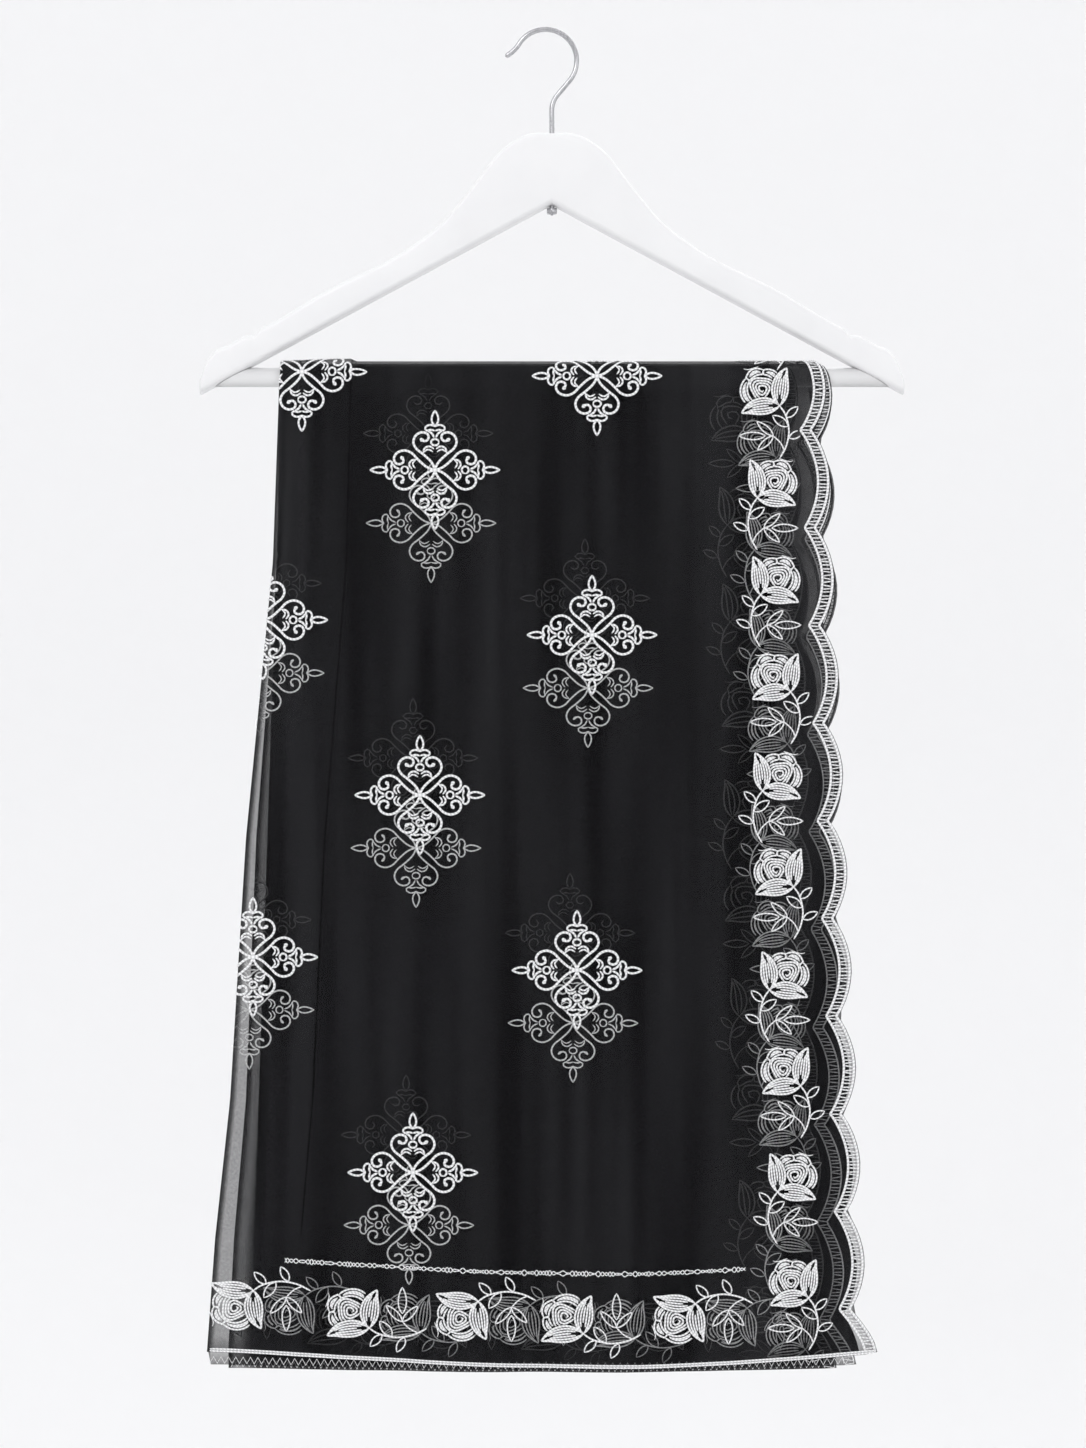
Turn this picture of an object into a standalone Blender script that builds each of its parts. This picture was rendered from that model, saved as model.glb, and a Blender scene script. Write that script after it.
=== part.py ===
"""A net dupatta, folded and hung over the bar of a white wooden hanger.

Metres, +Z up. The origin is the inner crown of the hook, where a rail holds it up.
The viewer looks along +Y, and the cloth's lengthwise fold lies at -X.
"""

import math
from collections import namedtuple

import bmesh
import bpy
import numpy as np

MM = 0.001
GAP = 0.0003

# Hook: one bent wire.
WIRE_RADIUS = 0.0016
EYE_RADIUS = 0.0179
EYE_START = math.radians(148)
EYE_END = math.radians(-40)
HOOK_TIP = (-0.0251, -0.0154)
HOOK_TIP_PULL = (-0.0195, -0.0124)
STEM_X = 0.004
STEM_BEND = 0.0055
STEM_END_Z = -0.1146

# Yoke: a board whose underside is two straight slopes.
YOKE_THICKNESS = 0.014
YOKE_CORNER = 0.004
APEX_Z = -0.1078
ARM_SLOPE = 0.54
YokeTop = namedtuple("YokeTop", "out top")
YOKE_TOPS = (
    YokeTop(0.0, -63.8),
    YokeTop(14.3, -64.4),
    YokeTop(32.9, -75.6),
    YokeTop(48.4, -95.4),
    YokeTop(68.2, -119.0),
    YokeTop(85.6, -132.6),
    YokeTop(141.4, -162.4),
    YokeTop(178.6, -184.0),
    YokeTop(181.5, -185.4),
    YokeTop(183.5, -188.2),
    YokeTop(185.4, -189.7),
    YokeTop(188.0, -189.4),
    YokeTop(190.5, -189.9),
    YokeTop(203.4, -196.5),
    YokeTop(208.3, -198.3),
    YokeTop(215.8, -208.3),
    YokeTop(218.9, -216.9),
)

# Bar and its tenons, and the nut on the stem.
BAR_RADIUS = 0.006
BAR_Z = -0.2154
TENON_RADIUS = 0.004
TENON_REACH = 0.212
SOCKET_ENDS = (0.180, 0.2126)
BORE_ENDS = (-0.055, -0.120)
SCRIBE_DROP = 0.00036
ROUND_SIDES = 16
NUT_RADIUS = 0.0036
NUT_HEIGHT = 0.0034

# Cloth: a wall stands for each layer, at its own depth round the bar.
WALL = 0.001
TURN_STEPS = 8
FOOT_STEPS = 3
BORDER_HEIGHT = 0.059
CORNER_Z = -0.8208
HEM_SAG = 0.0104
HEM_SKEW = 1.25
SEAM_SHARE = 0.92
BACK_FOOT_Z = -0.8259

# depth is the middle of the wall; the shifts are measured from the outer layer's edges.
Layer = namedtuple(
    "Layer", "name depth left_top left_foot right_top right_foot right_bend longer lower"
)
OUTER = Layer("outer", 0.0100, 0.0, 0.0, 0.0, 0.0, 1.0, 0.0, 0.0)
UNDER = Layer("under", 0.0085, 0.00255, 0.00255, 0.0070, -0.0130, 2.5, 0.0060, 0.0070)
INNER = Layer("inner", 0.0070, 0.0, 0.0130, -0.0170, -0.0250, 1.0, 0.0090, 0.0030)

# The front's folded left edge, and the seam line of the edging at the right.
LeftEdge = namedtuple("LeftEdge", "z x")
FRONT_LEFT = (
    LeftEdge(-206.4, -165.2),
    LeftEdge(-331.0, -169.6),
    LeftEdge(-502.0, -186.3),
    LeftEdge(-664.6, -196.2),
    LeftEdge(-750.8, -205.5),
    LeftEdge(-820.8, -210.5),
)
BACK_LEFT_SPREAD = 0.0128
SEAM_TOP_X = 0.1547
FRONT_SEAM_SPREAD = 0.0266
BACK_SEAM_SPREAD = 0.0133

# Scallops of the edging.
PITCH = 0.06056
ROWS_PER_SCALLOP = 6
CUSP_REACH = 0.0090
BULGE = 0.0100
BULGE_POWER = 0.8
CORNER_FLARE = 0.0056
CORNER_LENGTH = 0.030
FIRST_FRONT_CUSP = 0.0338
FIRST_BACK_CUSP = 0.0560

# Columns of the net, as shares of its width. The second to fourth carry the pleat.
SHARES = (0.0, 0.07, 0.137, 0.16, 0.22, 0.29, 0.36, 0.43, 0.5, 0.57, 0.64, 0.71, 0.78, 0.85, 1.0)
PLEAT_RISE = (0.0, 0.0008, 0.0017, 0.0)
FRONT_FALLS = (0.8, 0.62, 0.44, 0.28, 0.14, 0.05)
BACK_FALLS = (0.05, 0.16, 0.34, 0.54, 0.77, 1.0)

# Soft folds: where each one's middle lies at the top and the foot, all as shares of the width.
Fold = namedtuple("Fold", "top foot half_width depth start")
FRONT_FOLDS = (
    Fold(0.22, 0.20, 0.13, 0.0020, 0.02),
    Fold(0.43, 0.40, 0.16, 0.0026, 0.10),
    Fold(0.67, 0.69, 0.14, 0.0022, 0.05),
)
BACK_FOLDS = (
    Fold(0.24, 0.28, 0.15, 0.0024, 0.04),
    Fold(0.52, 0.50, 0.17, 0.0030, 0.10),
    Fold(0.70, 0.68, 0.13, 0.0018, 0.06),
)


def clear_scene():
    for old in list(bpy.data.objects):
        bpy.data.objects.remove(old, do_unlink=True)


def material(name, colour, roughness, metallic=0.0):
    made = bpy.data.materials.new(name)
    made.use_nodes = True
    shader = made.node_tree.nodes["Principled BSDF"]
    shader.inputs["Base Color"].default_value = (*colour, 1.0)
    shader.inputs["Roughness"].default_value = roughness
    shader.inputs["Metallic"].default_value = metallic
    made.diffuse_color = (*colour, 1.0)
    return made


def new_object(name, points, faces, finish, smooth_below=None):
    """A closed mesh whose faces are turned outward."""
    mesh = bpy.data.meshes.new(name)
    mesh.from_pydata([tuple(p) for p in points], [], faces)
    shaped = bmesh.new()
    shaped.from_mesh(mesh)
    bmesh.ops.recalc_face_normals(shaped, faces=shaped.faces)
    shaped.to_mesh(mesh)
    shaped.free()
    mesh.materials.append(finish)
    if smooth_below is not None:
        mesh.shade_smooth()
        mesh.set_sharp_from_angle(angle=math.radians(smooth_below))
    made = bpy.data.objects.new(name, mesh)
    bpy.context.scene.collection.objects.link(made)
    return made


def lofted(rings, closed_ends=True):
    """Points and faces of equal rings joined in turn, with a face over each end."""
    count = len(rings[0])
    points = [p for ring in rings for p in ring]
    faces = []
    for i in range(len(rings) - 1):
        for j in range(count):
            k = (j + 1) % count
            faces.append((i * count + j, i * count + k, (i + 1) * count + k, (i + 1) * count + j))
    if closed_ends:
        faces.append(tuple(range(count)))
        faces.append(tuple((len(rings) - 1) * count + j for j in range(count)))
    return points, faces


def cutter(name, points, faces):
    """A closed shape that is only cut away from another."""
    made = new_object(name, points, faces, HIDDEN)
    made.hide_render = True
    made.display_type = "WIRE"
    return made


def cut(target, tool):
    modifier = target.modifiers.new(tool.name, "BOOLEAN")
    modifier.operation = "DIFFERENCE"
    modifier.solver = "EXACT"
    modifier.object = tool


def bezier(start, pull, end, steps):
    """Points of a quadratic curve between two places, without its first one."""
    found = []
    for i in range(1, steps + 1):
        t = i / steps
        found.append(tuple(
            (1 - t) ** 2 * a + 2 * t * (1 - t) * b + t * t * c
            for a, b, c in zip(start, pull, end)
        ))
    return found


def hook_path():
    """Tip, eye, slanted run, bend and stem, in X and Z."""
    turn = EYE_RADIUS + WIRE_RADIUS
    eye = []
    steps = 22
    for i in range(steps + 1):
        angle = EYE_START + (EYE_END - EYE_START) * i / steps
        eye.append((turn * math.cos(angle), turn * math.sin(angle) - EYE_RADIUS))
    tip = bezier(eye[0], HOOK_TIP_PULL, HOOK_TIP, 5)[::-1]
    slant = (math.sin(EYE_END), -math.cos(EYE_END))
    length = (STEM_X - eye[-1][0]) / slant[0]
    corner = (STEM_X, eye[-1][1] + slant[1] * length)
    bend_start = (corner[0] - slant[0] * STEM_BEND, corner[1] - slant[1] * STEM_BEND)
    bend_end = (STEM_X, corner[1] - STEM_BEND)
    bend = [bend_start] + bezier(bend_start, corner, bend_end, 5)
    return tip + eye + bend + [(STEM_X, STEM_END_Z)]


def make_hook():
    """A wire of round section along the hook's path."""
    path = hook_path()
    curve = bpy.data.curves.new("hanger_hook", "CURVE")
    curve.dimensions = "3D"
    curve.bevel_depth = WIRE_RADIUS
    curve.bevel_resolution = 2
    curve.use_fill_caps = True
    spline = curve.splines.new("POLY")
    spline.points.add(len(path) - 1)
    for point, (x, z) in zip(spline.points, path):
        point.co = (x, 0.0, z, 1.0)
    curve.materials.append(METAL)
    made = bpy.data.objects.new("hanger_hook", curve)
    bpy.context.scene.collection.objects.link(made)
    return made


def yoke_tops():
    """The upper edge from the middle outward, as a smooth curve through the table."""
    out = np.array([row.out for row in YOKE_TOPS]) * MM
    top = np.array([row.top for row in YOKE_TOPS]) * MM
    rise = np.gradient(top, out)
    rise[0] = 0.0
    found = []
    for i in range(len(out) - 1):
        span = out[i + 1] - out[i]
        pieces = max(1, round(span / 0.010))
        for j in range(pieces):
            t = j / pieces
            height = (
                (2 * t**3 - 3 * t**2 + 1) * top[i]
                + (t**3 - 2 * t**2 + t) * span * rise[i]
                + (3 * t**2 - 2 * t**3) * top[i + 1]
                + (t**3 - t**2) * span * rise[i + 1]
            )
            found.append((out[i] + t * span, height))
    found.append((out[-1], top[-1]))
    return found


def rounded_section(x, low, high):
    """A rectangle across the board, its four corners rounded in two steps."""
    half = YOKE_THICKNESS / 2
    corner = min(YOKE_CORNER, 0.42 * (high - low))
    ring = []
    for turn, (side, level) in enumerate(((1, 1), (-1, 1), (-1, -1), (1, -1))):
        centre_y = side * (half - corner)
        centre_z = (high - corner) if level > 0 else (low + corner)
        for step in range(3):
            angle = math.radians(90 * turn + 45 * step)
            ring.append((x, centre_y + corner * math.cos(angle), centre_z + corner * math.sin(angle)))
    return ring


def make_yoke():
    """The shoulder board, with the hook's bore and the bar's two sockets."""
    half_edge = yoke_tops()
    stations = [(-out, top) for out, top in half_edge[:0:-1]] + half_edge
    rings = [
        rounded_section(STEM_X + out, APEX_Z - ARM_SLOPE * abs(out), top)
        for out, top in stations
    ]
    points, faces = lofted(rings)
    made = new_object("hanger_yoke", points, faces, WOOD, 35)
    bore = [upright_ring(WIRE_RADIUS + GAP, z) for z in BORE_ENDS]
    cut(made, cutter("stem_bore", *lofted(bore)))
    for name, side in (("left_socket", -1), ("right_socket", 1)):
        socket = [level_ring(TENON_RADIUS + GAP, side * out) for out in SOCKET_ENDS]
        cut(made, cutter(name, *lofted(socket)))
    return made


def upright_ring(radius, z):
    """A ring round the stem's line."""
    turns = [2 * math.pi * (i + 0.5) / ROUND_SIDES for i in range(ROUND_SIDES)]
    return [(STEM_X + radius * math.cos(a), radius * math.sin(a), z) for a in turns]


def level_ring(radius, out):
    """A ring round the bar's line, at a distance from the stem."""
    turns = [2 * math.pi * (i + 0.5) / ROUND_SIDES for i in range(ROUND_SIDES)]
    return [(STEM_X + out, radius * math.cos(a), BAR_Z + radius * math.sin(a)) for a in turns]


def scribed_ring(radius, side):
    """A ring round the bar's line, cut to the slope of the arm's underside."""
    scribed = []
    for _, y, z in level_ring(radius, 0.0):
        out = (APEX_Z - z - SCRIBE_DROP) / ARM_SLOPE
        scribed.append((STEM_X + side * out, y, z))
    return scribed


def make_bar():
    """A round bar whose ends fit the slopes, with a tenon at each end."""
    rings = [
        level_ring(TENON_RADIUS, -TENON_REACH),
        scribed_ring(TENON_RADIUS, -1),
        scribed_ring(BAR_RADIUS, -1),
        scribed_ring(BAR_RADIUS, 1),
        scribed_ring(TENON_RADIUS, 1),
        level_ring(TENON_RADIUS, TENON_REACH),
    ]
    return new_object("hanger_bar", *lofted(rings), WOOD, 35)


def make_nut():
    """A six-sided nut round the stem, just clear of the slopes above it."""
    top = APEX_Z - ARM_SLOPE * NUT_RADIUS - GAP
    heights = (top, top - NUT_HEIGHT, top - NUT_HEIGHT, top)
    radii = (NUT_RADIUS, NUT_RADIUS, WIRE_RADIUS + GAP, WIRE_RADIUS + GAP)
    rings = []
    for radius, z in zip(radii, heights):
        ring = []
        for i in range(12):
            angle = 2 * math.pi * i / 12
            reach = radius
            if radius == NUT_RADIUS:
                reach = radius * (1.0 if i % 2 == 0 else math.cos(math.pi / 6))
            ring.append((STEM_X + reach * math.cos(angle), reach * math.sin(angle), z))
        rings.append(ring)
    points, faces = lofted(rings + [rings[0]], closed_ends=False)
    count = len(rings) * 12
    faces = [tuple(i % count for i in face) for face in faces]
    return new_object("hook_nut", points[:count], faces, METAL)


def smoothstep(value):
    value = np.clip(value, 0.0, 1.0)
    return value * value * (3 - 2 * value)


def hem_line(across):
    """Height of the front hem: it sags most a little right of the middle."""
    return CORNER_Z - HEM_SAG * np.sin(math.pi * across**HEM_SKEW)


def swell(folds, share, fall):
    """How far the soft folds push a place outward: raised cosines that grow down the cloth."""
    total = np.zeros_like(share)
    for fold in folds:
        middle = fold.top + (fold.foot - fold.top) * fall
        near = np.clip(np.abs(share - middle) / fold.half_width, 0.0, 1.0)
        grown = smoothstep((fall - fold.start) / 0.5)
        total = total + fold.depth * grown * 0.5 * (1 + np.cos(math.pi * near))
    return total


def pleat(layer, share, strength):
    """The outer layer's lengthwise pleat: it rises slowly and drops at its edge."""
    if layer is not OUTER:
        return np.zeros_like(share)
    return strength * np.interp(share, SHARES[:4], PLEAT_RISE)


def left_edge(stretch, z):
    if stretch == "front":
        heights = [row.z * MM for row in FRONT_LEFT][::-1]
        edges = [row.x * MM for row in FRONT_LEFT][::-1]
        return np.interp(z, heights, edges)
    fall = np.clip((BAR_Z - z) / (BAR_Z - BACK_FOOT_Z), 0.0, 1.0)
    return FRONT_LEFT[0].x * MM - BACK_LEFT_SPREAD * fall


def seam_line(stretch, z):
    """Where the net meets the edging, for the outer layer."""
    spread = FRONT_SEAM_SPREAD if stretch == "front" else BACK_SEAM_SPREAD
    foot = CORNER_Z if stretch == "front" else BACK_FOOT_Z
    return SEAM_TOP_X + spread * np.clip((BAR_Z - z) / (BAR_Z - foot), 0.0, 1.0)


def right_shift(layer, stretch, fall):
    """How far this layer's right edge lies past the outer layer's."""
    if stretch == "front":
        return layer.right_top + (layer.right_foot - layer.right_top) * fall**layer.right_bend
    return layer.right_top * (1 - smoothstep(fall / 0.8))


def left_shift(layer, stretch, fall):
    if stretch == "front":
        return layer.left_top + (layer.left_foot - layer.left_top) * fall
    return np.full_like(fall, layer.left_top)


def foot_centre():
    """Height of the line round which the inner layer turns up at the back's foot."""
    return BACK_FOOT_Z + abs(INNER.depth - UNDER.depth) + WALL / 2


def fall_of(layer, row, across):
    """Height and share of the fall of a row in front or behind."""
    stretch, at = row
    if stretch == "front":
        return BAR_Z + at * (hem_line(across) - layer.longer - BAR_Z), at + 0 * across
    if stretch == "over":
        return BAR_Z + 0 * across, 0 * across
    foot = foot_centre() + (GAP if layer is not INNER else 0.0)
    reach = at if stretch == "behind" else 1.0
    return BAR_Z + reach * (foot - BAR_Z) + 0 * across, reach + 0 * across


def placed(row, x, depth, z, push):
    """Points at a depth round the bar, for one row: in front, over, behind, or turned up."""
    stretch, at = row
    if stretch == "front":
        return np.stack([x, -(depth + push), z], axis=-1)
    if stretch == "over":
        angle = math.radians(at)
        reach = depth + push
        return np.stack([x, -reach * math.cos(angle), BAR_Z + reach * math.sin(angle)], axis=-1)
    if stretch == "behind":
        return np.stack([x, depth + push, z], axis=-1)
    angle = math.radians(at)
    radius = UNDER.depth - depth
    y = UNDER.depth + push - radius * math.cos(angle)
    return np.stack([x, y, z - radius * math.sin(angle)], axis=-1)


def row_push(layer, row, share, fall):
    """Folds and pleat together, for one row."""
    stretch, at = row
    if stretch == "front":
        return swell(FRONT_FOLDS, share, at) + pleat(layer, share, 1 - smoothstep(at / 0.95))
    if stretch == "over":
        return pleat(layer, share, 1.0)
    return swell(BACK_FOLDS, share, fall) + pleat(layer, share, 1 - smoothstep(fall / 0.7))


def net_columns(layer):
    """Shares of the columns, and each column's slide and sink for the outer and inner face.

    The outer layer starts with the rounded fold, which ends where the under layer begins.
    """
    half = WALL / 2
    shares = list(SHARES)
    slides = [[0.0] * len(shares), [0.0] * len(shares)]
    sinks = [[half] * len(shares), [-half] * len(shares)]
    if layer is not OUTER:
        return np.array(shares), np.array(slides), np.array(sinks)
    step = (OUTER.depth - UNDER.depth) / 2
    radii = (step + half, step - half)
    lip = UNDER.left_top - GAP
    shares = [0.0] * 4 + shares
    for face, radius in enumerate(radii):
        turned = [(radii[0] + radius * math.cos(math.radians(a)), radius * math.sin(math.radians(a)))
                  for a in (270, 210, 150, 90)]
        slides[face] = [lip] + [x for x, _ in turned] + slides[face][1:]
        sinks[face] = [-step - radius] + [-step + d for _, d in turned] + sinks[face][1:]
    return np.array(shares), np.array(slides), np.array(sinks)


def net_row(layer, row, face, columns, trim):
    """One row of a net wall's outer or inner face. trim moves the row up the cloth."""
    shares, slides, sinks = columns
    z, fall = fall_of(layer, row, shares * SEAM_SHARE)
    z = z + trim
    left = left_edge(row[0], z)
    seam = seam_line(row[0], z)
    x = left + shares * (seam - left) + slides[face]
    x = x + (shares == 0) * left_shift(layer, row[0], fall)
    x = x + (shares == 1) * (right_shift(layer, row[0], fall) - GAP / 2)
    push = row_push(layer, row, shares, fall)
    return placed(row, x, layer.depth + sinks[face], z, push)


def walled(name, outer_rows, inner_rows, finish):
    """A closed wall between two grids of points of the same size."""
    rows = len(outer_rows)
    columns = len(outer_rows[0])
    points = np.concatenate([np.concatenate(outer_rows), np.concatenate(inner_rows)])
    index = np.arange(2 * rows * columns).reshape(2, rows, columns)
    faces = []
    for grid in index:
        for i in range(rows - 1):
            for j in range(columns - 1):
                faces.append((grid[i, j], grid[i, j + 1], grid[i + 1, j + 1], grid[i + 1, j]))
    rim = [(i, 0) for i in range(rows)] + [(rows - 1, j) for j in range(1, columns)]
    rim += [(i, columns - 1) for i in range(rows - 2, -1, -1)]
    rim += [(0, j) for j in range(columns - 2, 0, -1)]
    for here, there in zip(rim, rim[1:] + rim[:1]):
        faces.append((index[0][here], index[0][there], index[1][there], index[1][here]))
    faces = [tuple(int(i) for i in face) for face in faces]
    return new_object(name, points, faces, finish, 40)


def over_rows():
    return [("over", 180 * i / TURN_STEPS) for i in range(TURN_STEPS + 1)]


def foot_rows(layer):
    """The turn at the back's foot, which only the inner layer carries."""
    if layer is not INNER:
        return []
    return [("turn", 180 * (i + 1) / FOOT_STEPS) for i in range(FOOT_STEPS)]


def border_fall(layer):
    """Share of the fall at which the end border begins."""
    return 1 - BORDER_HEIGHT / (BAR_Z - (CORNER_Z - layer.longer))


def make_net(layer):
    columns = net_columns(layer)
    rows = [("front", border_fall(layer))]
    rows += [("front", fall) for fall in FRONT_FALLS]
    rows += over_rows()
    rows += [("behind", fall) for fall in BACK_FALLS]
    rows += foot_rows(layer)
    faces = []
    for face in (0, 1):
        trims = [GAP / 2] + [0.0] * (len(rows) - 1)
        faces.append([net_row(layer, row, face, columns, t) for row, t in zip(rows, trims)])
    return walled(layer.name + "_net", *faces, NET)


def make_border(layer):
    """The end of the stole below the chain-stitch line."""
    columns = net_columns(layer)
    falls = (1.0, border_fall(layer))
    trims = (0.0, -GAP / 2)
    faces = []
    for face in (0, 1):
        faces.append([
            net_row(layer, ("front", fall), face, columns, trim)
            for fall, trim in zip(falls, trims)
        ])
    return walled(layer.name + "_end_border", *faces, NET)


def edging_rows(layer):
    """Rows that fall on the scallops' cusps, with the bar's own rows between."""
    fall_front = BAR_Z - (hem_line(np.array(1.0)) - layer.longer)
    fall_back = BAR_Z - foot_centre()
    step = PITCH / ROWS_PER_SCALLOP
    first = FIRST_FRONT_CUSP + layer.lower
    front = np.arange(first, fall_front - 0.3 * step, step)
    back = np.arange(FIRST_BACK_CUSP, fall_back - 0.3 * step, step)
    rows = [("front", 1.0)] + [("front", float(s / fall_front)) for s in front[::-1]]
    rows += [("front", float(first / 2 / fall_front))]
    rows += over_rows()
    rows += [("behind", float(FIRST_BACK_CUSP * k / 4 / fall_back)) for k in (1, 2, 3)]
    rows += [("behind", float(s / fall_back)) for s in back]
    return rows + [("behind", 1.0)] + foot_rows(layer)


def scallop_reach(layer, row, fall_length):
    """Distance from the seam line to the scalloped edge."""
    stretch, at = row
    first = FIRST_FRONT_CUSP + layer.lower
    over = math.pi * layer.depth
    flare = 0.0
    if stretch == "front" and fall_length > first:
        phase = (fall_length - first) / PITCH
        whole = BAR_Z - CORNER_Z + layer.longer
        flare = CORNER_FLARE * float(smoothstep(1 - (whole - fall_length) / CORNER_LENGTH))
    elif stretch in ("behind", "turn") and fall_length > FIRST_BACK_CUSP:
        phase = (fall_length - FIRST_BACK_CUSP) / PITCH
    else:
        way = {"front": first - fall_length, "over": first + over * at / 180}
        way = way.get(stretch, first + over + fall_length)
        phase = 2 * way / (first + over + FIRST_BACK_CUSP)
    return CUSP_REACH + BULGE * abs(math.sin(math.pi * phase)) ** BULGE_POWER + flare


def edging_row(layer, row, face):
    """Two points: on the seam line and on the scalloped edge."""
    across = np.array([SEAM_SHARE, 1.0])
    z, fall = fall_of(layer, row, across)
    seam = seam_line(row[0], z) + right_shift(layer, row[0], fall) + GAP / 2
    reach = scallop_reach(layer, row, float(BAR_Z - z[1]))
    x = seam + np.array([0.0, reach])
    sink = WALL / 2 if face == 0 else -WALL / 2
    return placed(row, x, np.full(2, layer.depth + sink), z, np.zeros(2))


def make_edging(layer):
    rows = edging_rows(layer)
    faces = [[edging_row(layer, row, face) for row in rows] for face in (0, 1)]
    return walled(layer.name + "_scallop_edging", *faces, LACE)


clear_scene()
WOOD = material("white_painted_wood", (0.86, 0.86, 0.88), 0.45)
METAL = material("hook_steel", (0.55, 0.56, 0.58), 0.25, 1.0)
NET = material("grey_net", (0.035, 0.035, 0.038), 0.9)
LACE = material("white_embroidery", (0.75, 0.75, 0.76), 0.7)
HIDDEN = material("cutter", (0.5, 0.5, 0.5), 0.5)

make_hook()
make_yoke()
make_bar()
make_nut()
for each in (OUTER, UNDER, INNER):
    make_net(each)
    make_border(each)
    make_edging(each)
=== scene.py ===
"""A sheer net dupatta with chain-stitch embroidery, folded over a white hanger's bar.

Cloth is described by two lengths. x runs across the drop, in the part's own frame. s runs along the
cloth: it is 0 level with the bar's centre, grows down the front to the hem, and falls below 0 over
the bar and down the back. Embroidery is drawn in these lengths and laid on the cloth by on_cloth.
"""

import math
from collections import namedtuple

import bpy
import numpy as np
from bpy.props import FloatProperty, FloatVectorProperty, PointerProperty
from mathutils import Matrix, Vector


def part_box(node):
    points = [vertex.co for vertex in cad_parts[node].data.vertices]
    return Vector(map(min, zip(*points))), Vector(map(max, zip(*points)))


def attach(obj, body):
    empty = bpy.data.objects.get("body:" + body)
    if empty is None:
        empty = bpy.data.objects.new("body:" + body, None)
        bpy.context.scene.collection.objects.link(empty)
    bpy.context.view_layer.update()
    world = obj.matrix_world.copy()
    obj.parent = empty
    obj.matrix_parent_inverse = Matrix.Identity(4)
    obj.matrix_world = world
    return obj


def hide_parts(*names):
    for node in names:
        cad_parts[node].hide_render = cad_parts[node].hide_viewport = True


bl_info = {
    "name": "Embroidered net dupatta",
    "version": (1, 0, 0),
    "blender": (4, 5, 0),
    "location": "View3D > Sidebar > Dupatta",
    "description": "Builds a folded net dupatta with its embroidery and its hanger",
    "category": "Object",
}

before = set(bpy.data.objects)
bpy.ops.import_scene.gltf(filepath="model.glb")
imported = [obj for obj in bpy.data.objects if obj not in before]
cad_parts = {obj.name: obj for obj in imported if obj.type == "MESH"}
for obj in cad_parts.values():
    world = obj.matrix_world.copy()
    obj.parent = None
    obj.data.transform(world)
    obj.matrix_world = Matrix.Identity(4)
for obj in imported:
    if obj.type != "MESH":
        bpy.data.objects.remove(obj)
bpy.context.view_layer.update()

MM = 0.001
BAR_LOW, BAR_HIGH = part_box("hanger_bar")
YOKE_LOW, YOKE_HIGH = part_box("hanger_yoke")
BAR_Z = (BAR_LOW[2] + BAR_HIGH[2]) / 2
STEM_X = (YOKE_LOW[0] + YOKE_HIGH[0]) / 2

# Hanger, in metres.
WIRE_RADIUS = 0.0016
EYE_RADIUS = 0.0179
EYE_START = math.radians(148)
EYE_END = math.radians(-40)
HOOK_TIP = (-0.0251, -0.0154)
HOOK_TIP_PULL = (-0.0195, -0.0124)
STEM_BEND = 0.0055
STEM_END_Z = -0.1146
YOKE_HALF = 0.007
YOKE_CORNER = 0.004
# Where the board is thin, the corners' share of its height.
THIN_CORNER = 0.42
APEX_Z = -0.1078
ARM_SLOPE = 0.54
BAR_RADIUS = 0.006
TENON_RADIUS = 0.004
TENON_REACH = 0.212
NUT_RADIUS = 0.0036
NUT_HEIGHT = 0.0034
SEAT_GAP = 0.0003
BAR_GAP = 0.00036
# The yoke's upper edge: distance from the stem and height, in millimetres.
YOKE_TOP = np.array((
    (0.0, -63.8), (14.3, -64.4), (32.9, -75.6), (48.4, -95.4), (68.2, -119.0), (85.6, -132.6),
    (141.4, -162.4), (178.6, -184.0), (181.5, -185.4), (183.5, -188.2), (185.4, -189.7),
    (188.0, -189.4), (190.5, -189.9), (203.4, -196.5), (208.3, -198.3), (215.8, -208.3),
    (218.9, -216.9),
)) * MM

# Cloth, in metres.
CORNER_Z = -0.8208
HEM_SKEW = 1.25
SEAM_SHARE = 0.92
BACK_FOOT_Z = -0.8259
BORDER_HEIGHT = 0.059
# The folded left edge in front: height and place, in millimetres.
FRONT_LEFT = np.array((
    (-820.8, -210.5), (-750.8, -205.5), (-664.6, -196.2), (-502.0, -186.3), (-331.0, -169.6),
    (-206.4, -165.2),
)) * MM
BACK_LEFT_SPREAD = 0.0200
SEAM_TOP_X = 0.1547
FRONT_SEAM_SPREAD = 0.0266
BACK_SEAM_SPREAD = 0.0233
PITCH = 0.06056
CUSP_REACH = 0.0090
BULGE = 0.0100
BULGE_POWER = 0.8
CORNER_FLARE = 0.0056
CORNER_LENGTH = 0.030
FIRST_FRONT_CUSP = 0.0338
FIRST_BACK_CUSP = 0.0406
# The layers' right edges come together behind over this share of the fall.
BACK_EASE = 0.8
PLEAT_SHARE = 0.137
PLEAT_DROP = 0.012
PLEAT_RISE = 0.0017
PLEAT_END_FRONT = 0.95
PLEAT_END_BACK = 0.7
FOLD_GROWTH = 0.5
RIPPLE_GROWTH = 0.15

# A layer's wall lies at this depth round the bar; the rest is measured from the outer layer.
Layer = namedtuple(
    "Layer", "name depth partner left_top left_foot right_top right_foot right_bend longer sag lower"
)
L1 = Layer("outer", 0.0100, 0.00675, 0.0, 0.0, 0.0, 0.0, 1.0, 0.0, 0.0104, 0.0)
L2 = Layer("under", 0.0085, 0.00725, 0.0, 0.0, 0.0050, -0.0130, 0.7, 0.0080, 0.0035, 0.0070)
L3 = Layer("inner", 0.00725, 0.0085, 0.0, 0.0130, -0.0170, -0.0250, 1.0, 0.0105, 0.0025, 0.0030)
L4 = Layer("inmost", 0.00675, 0.0100, 0.0, 0.0130, -0.0195, -0.0290, 1.0, 0.0090, 0.0025, 0.0030)

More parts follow.
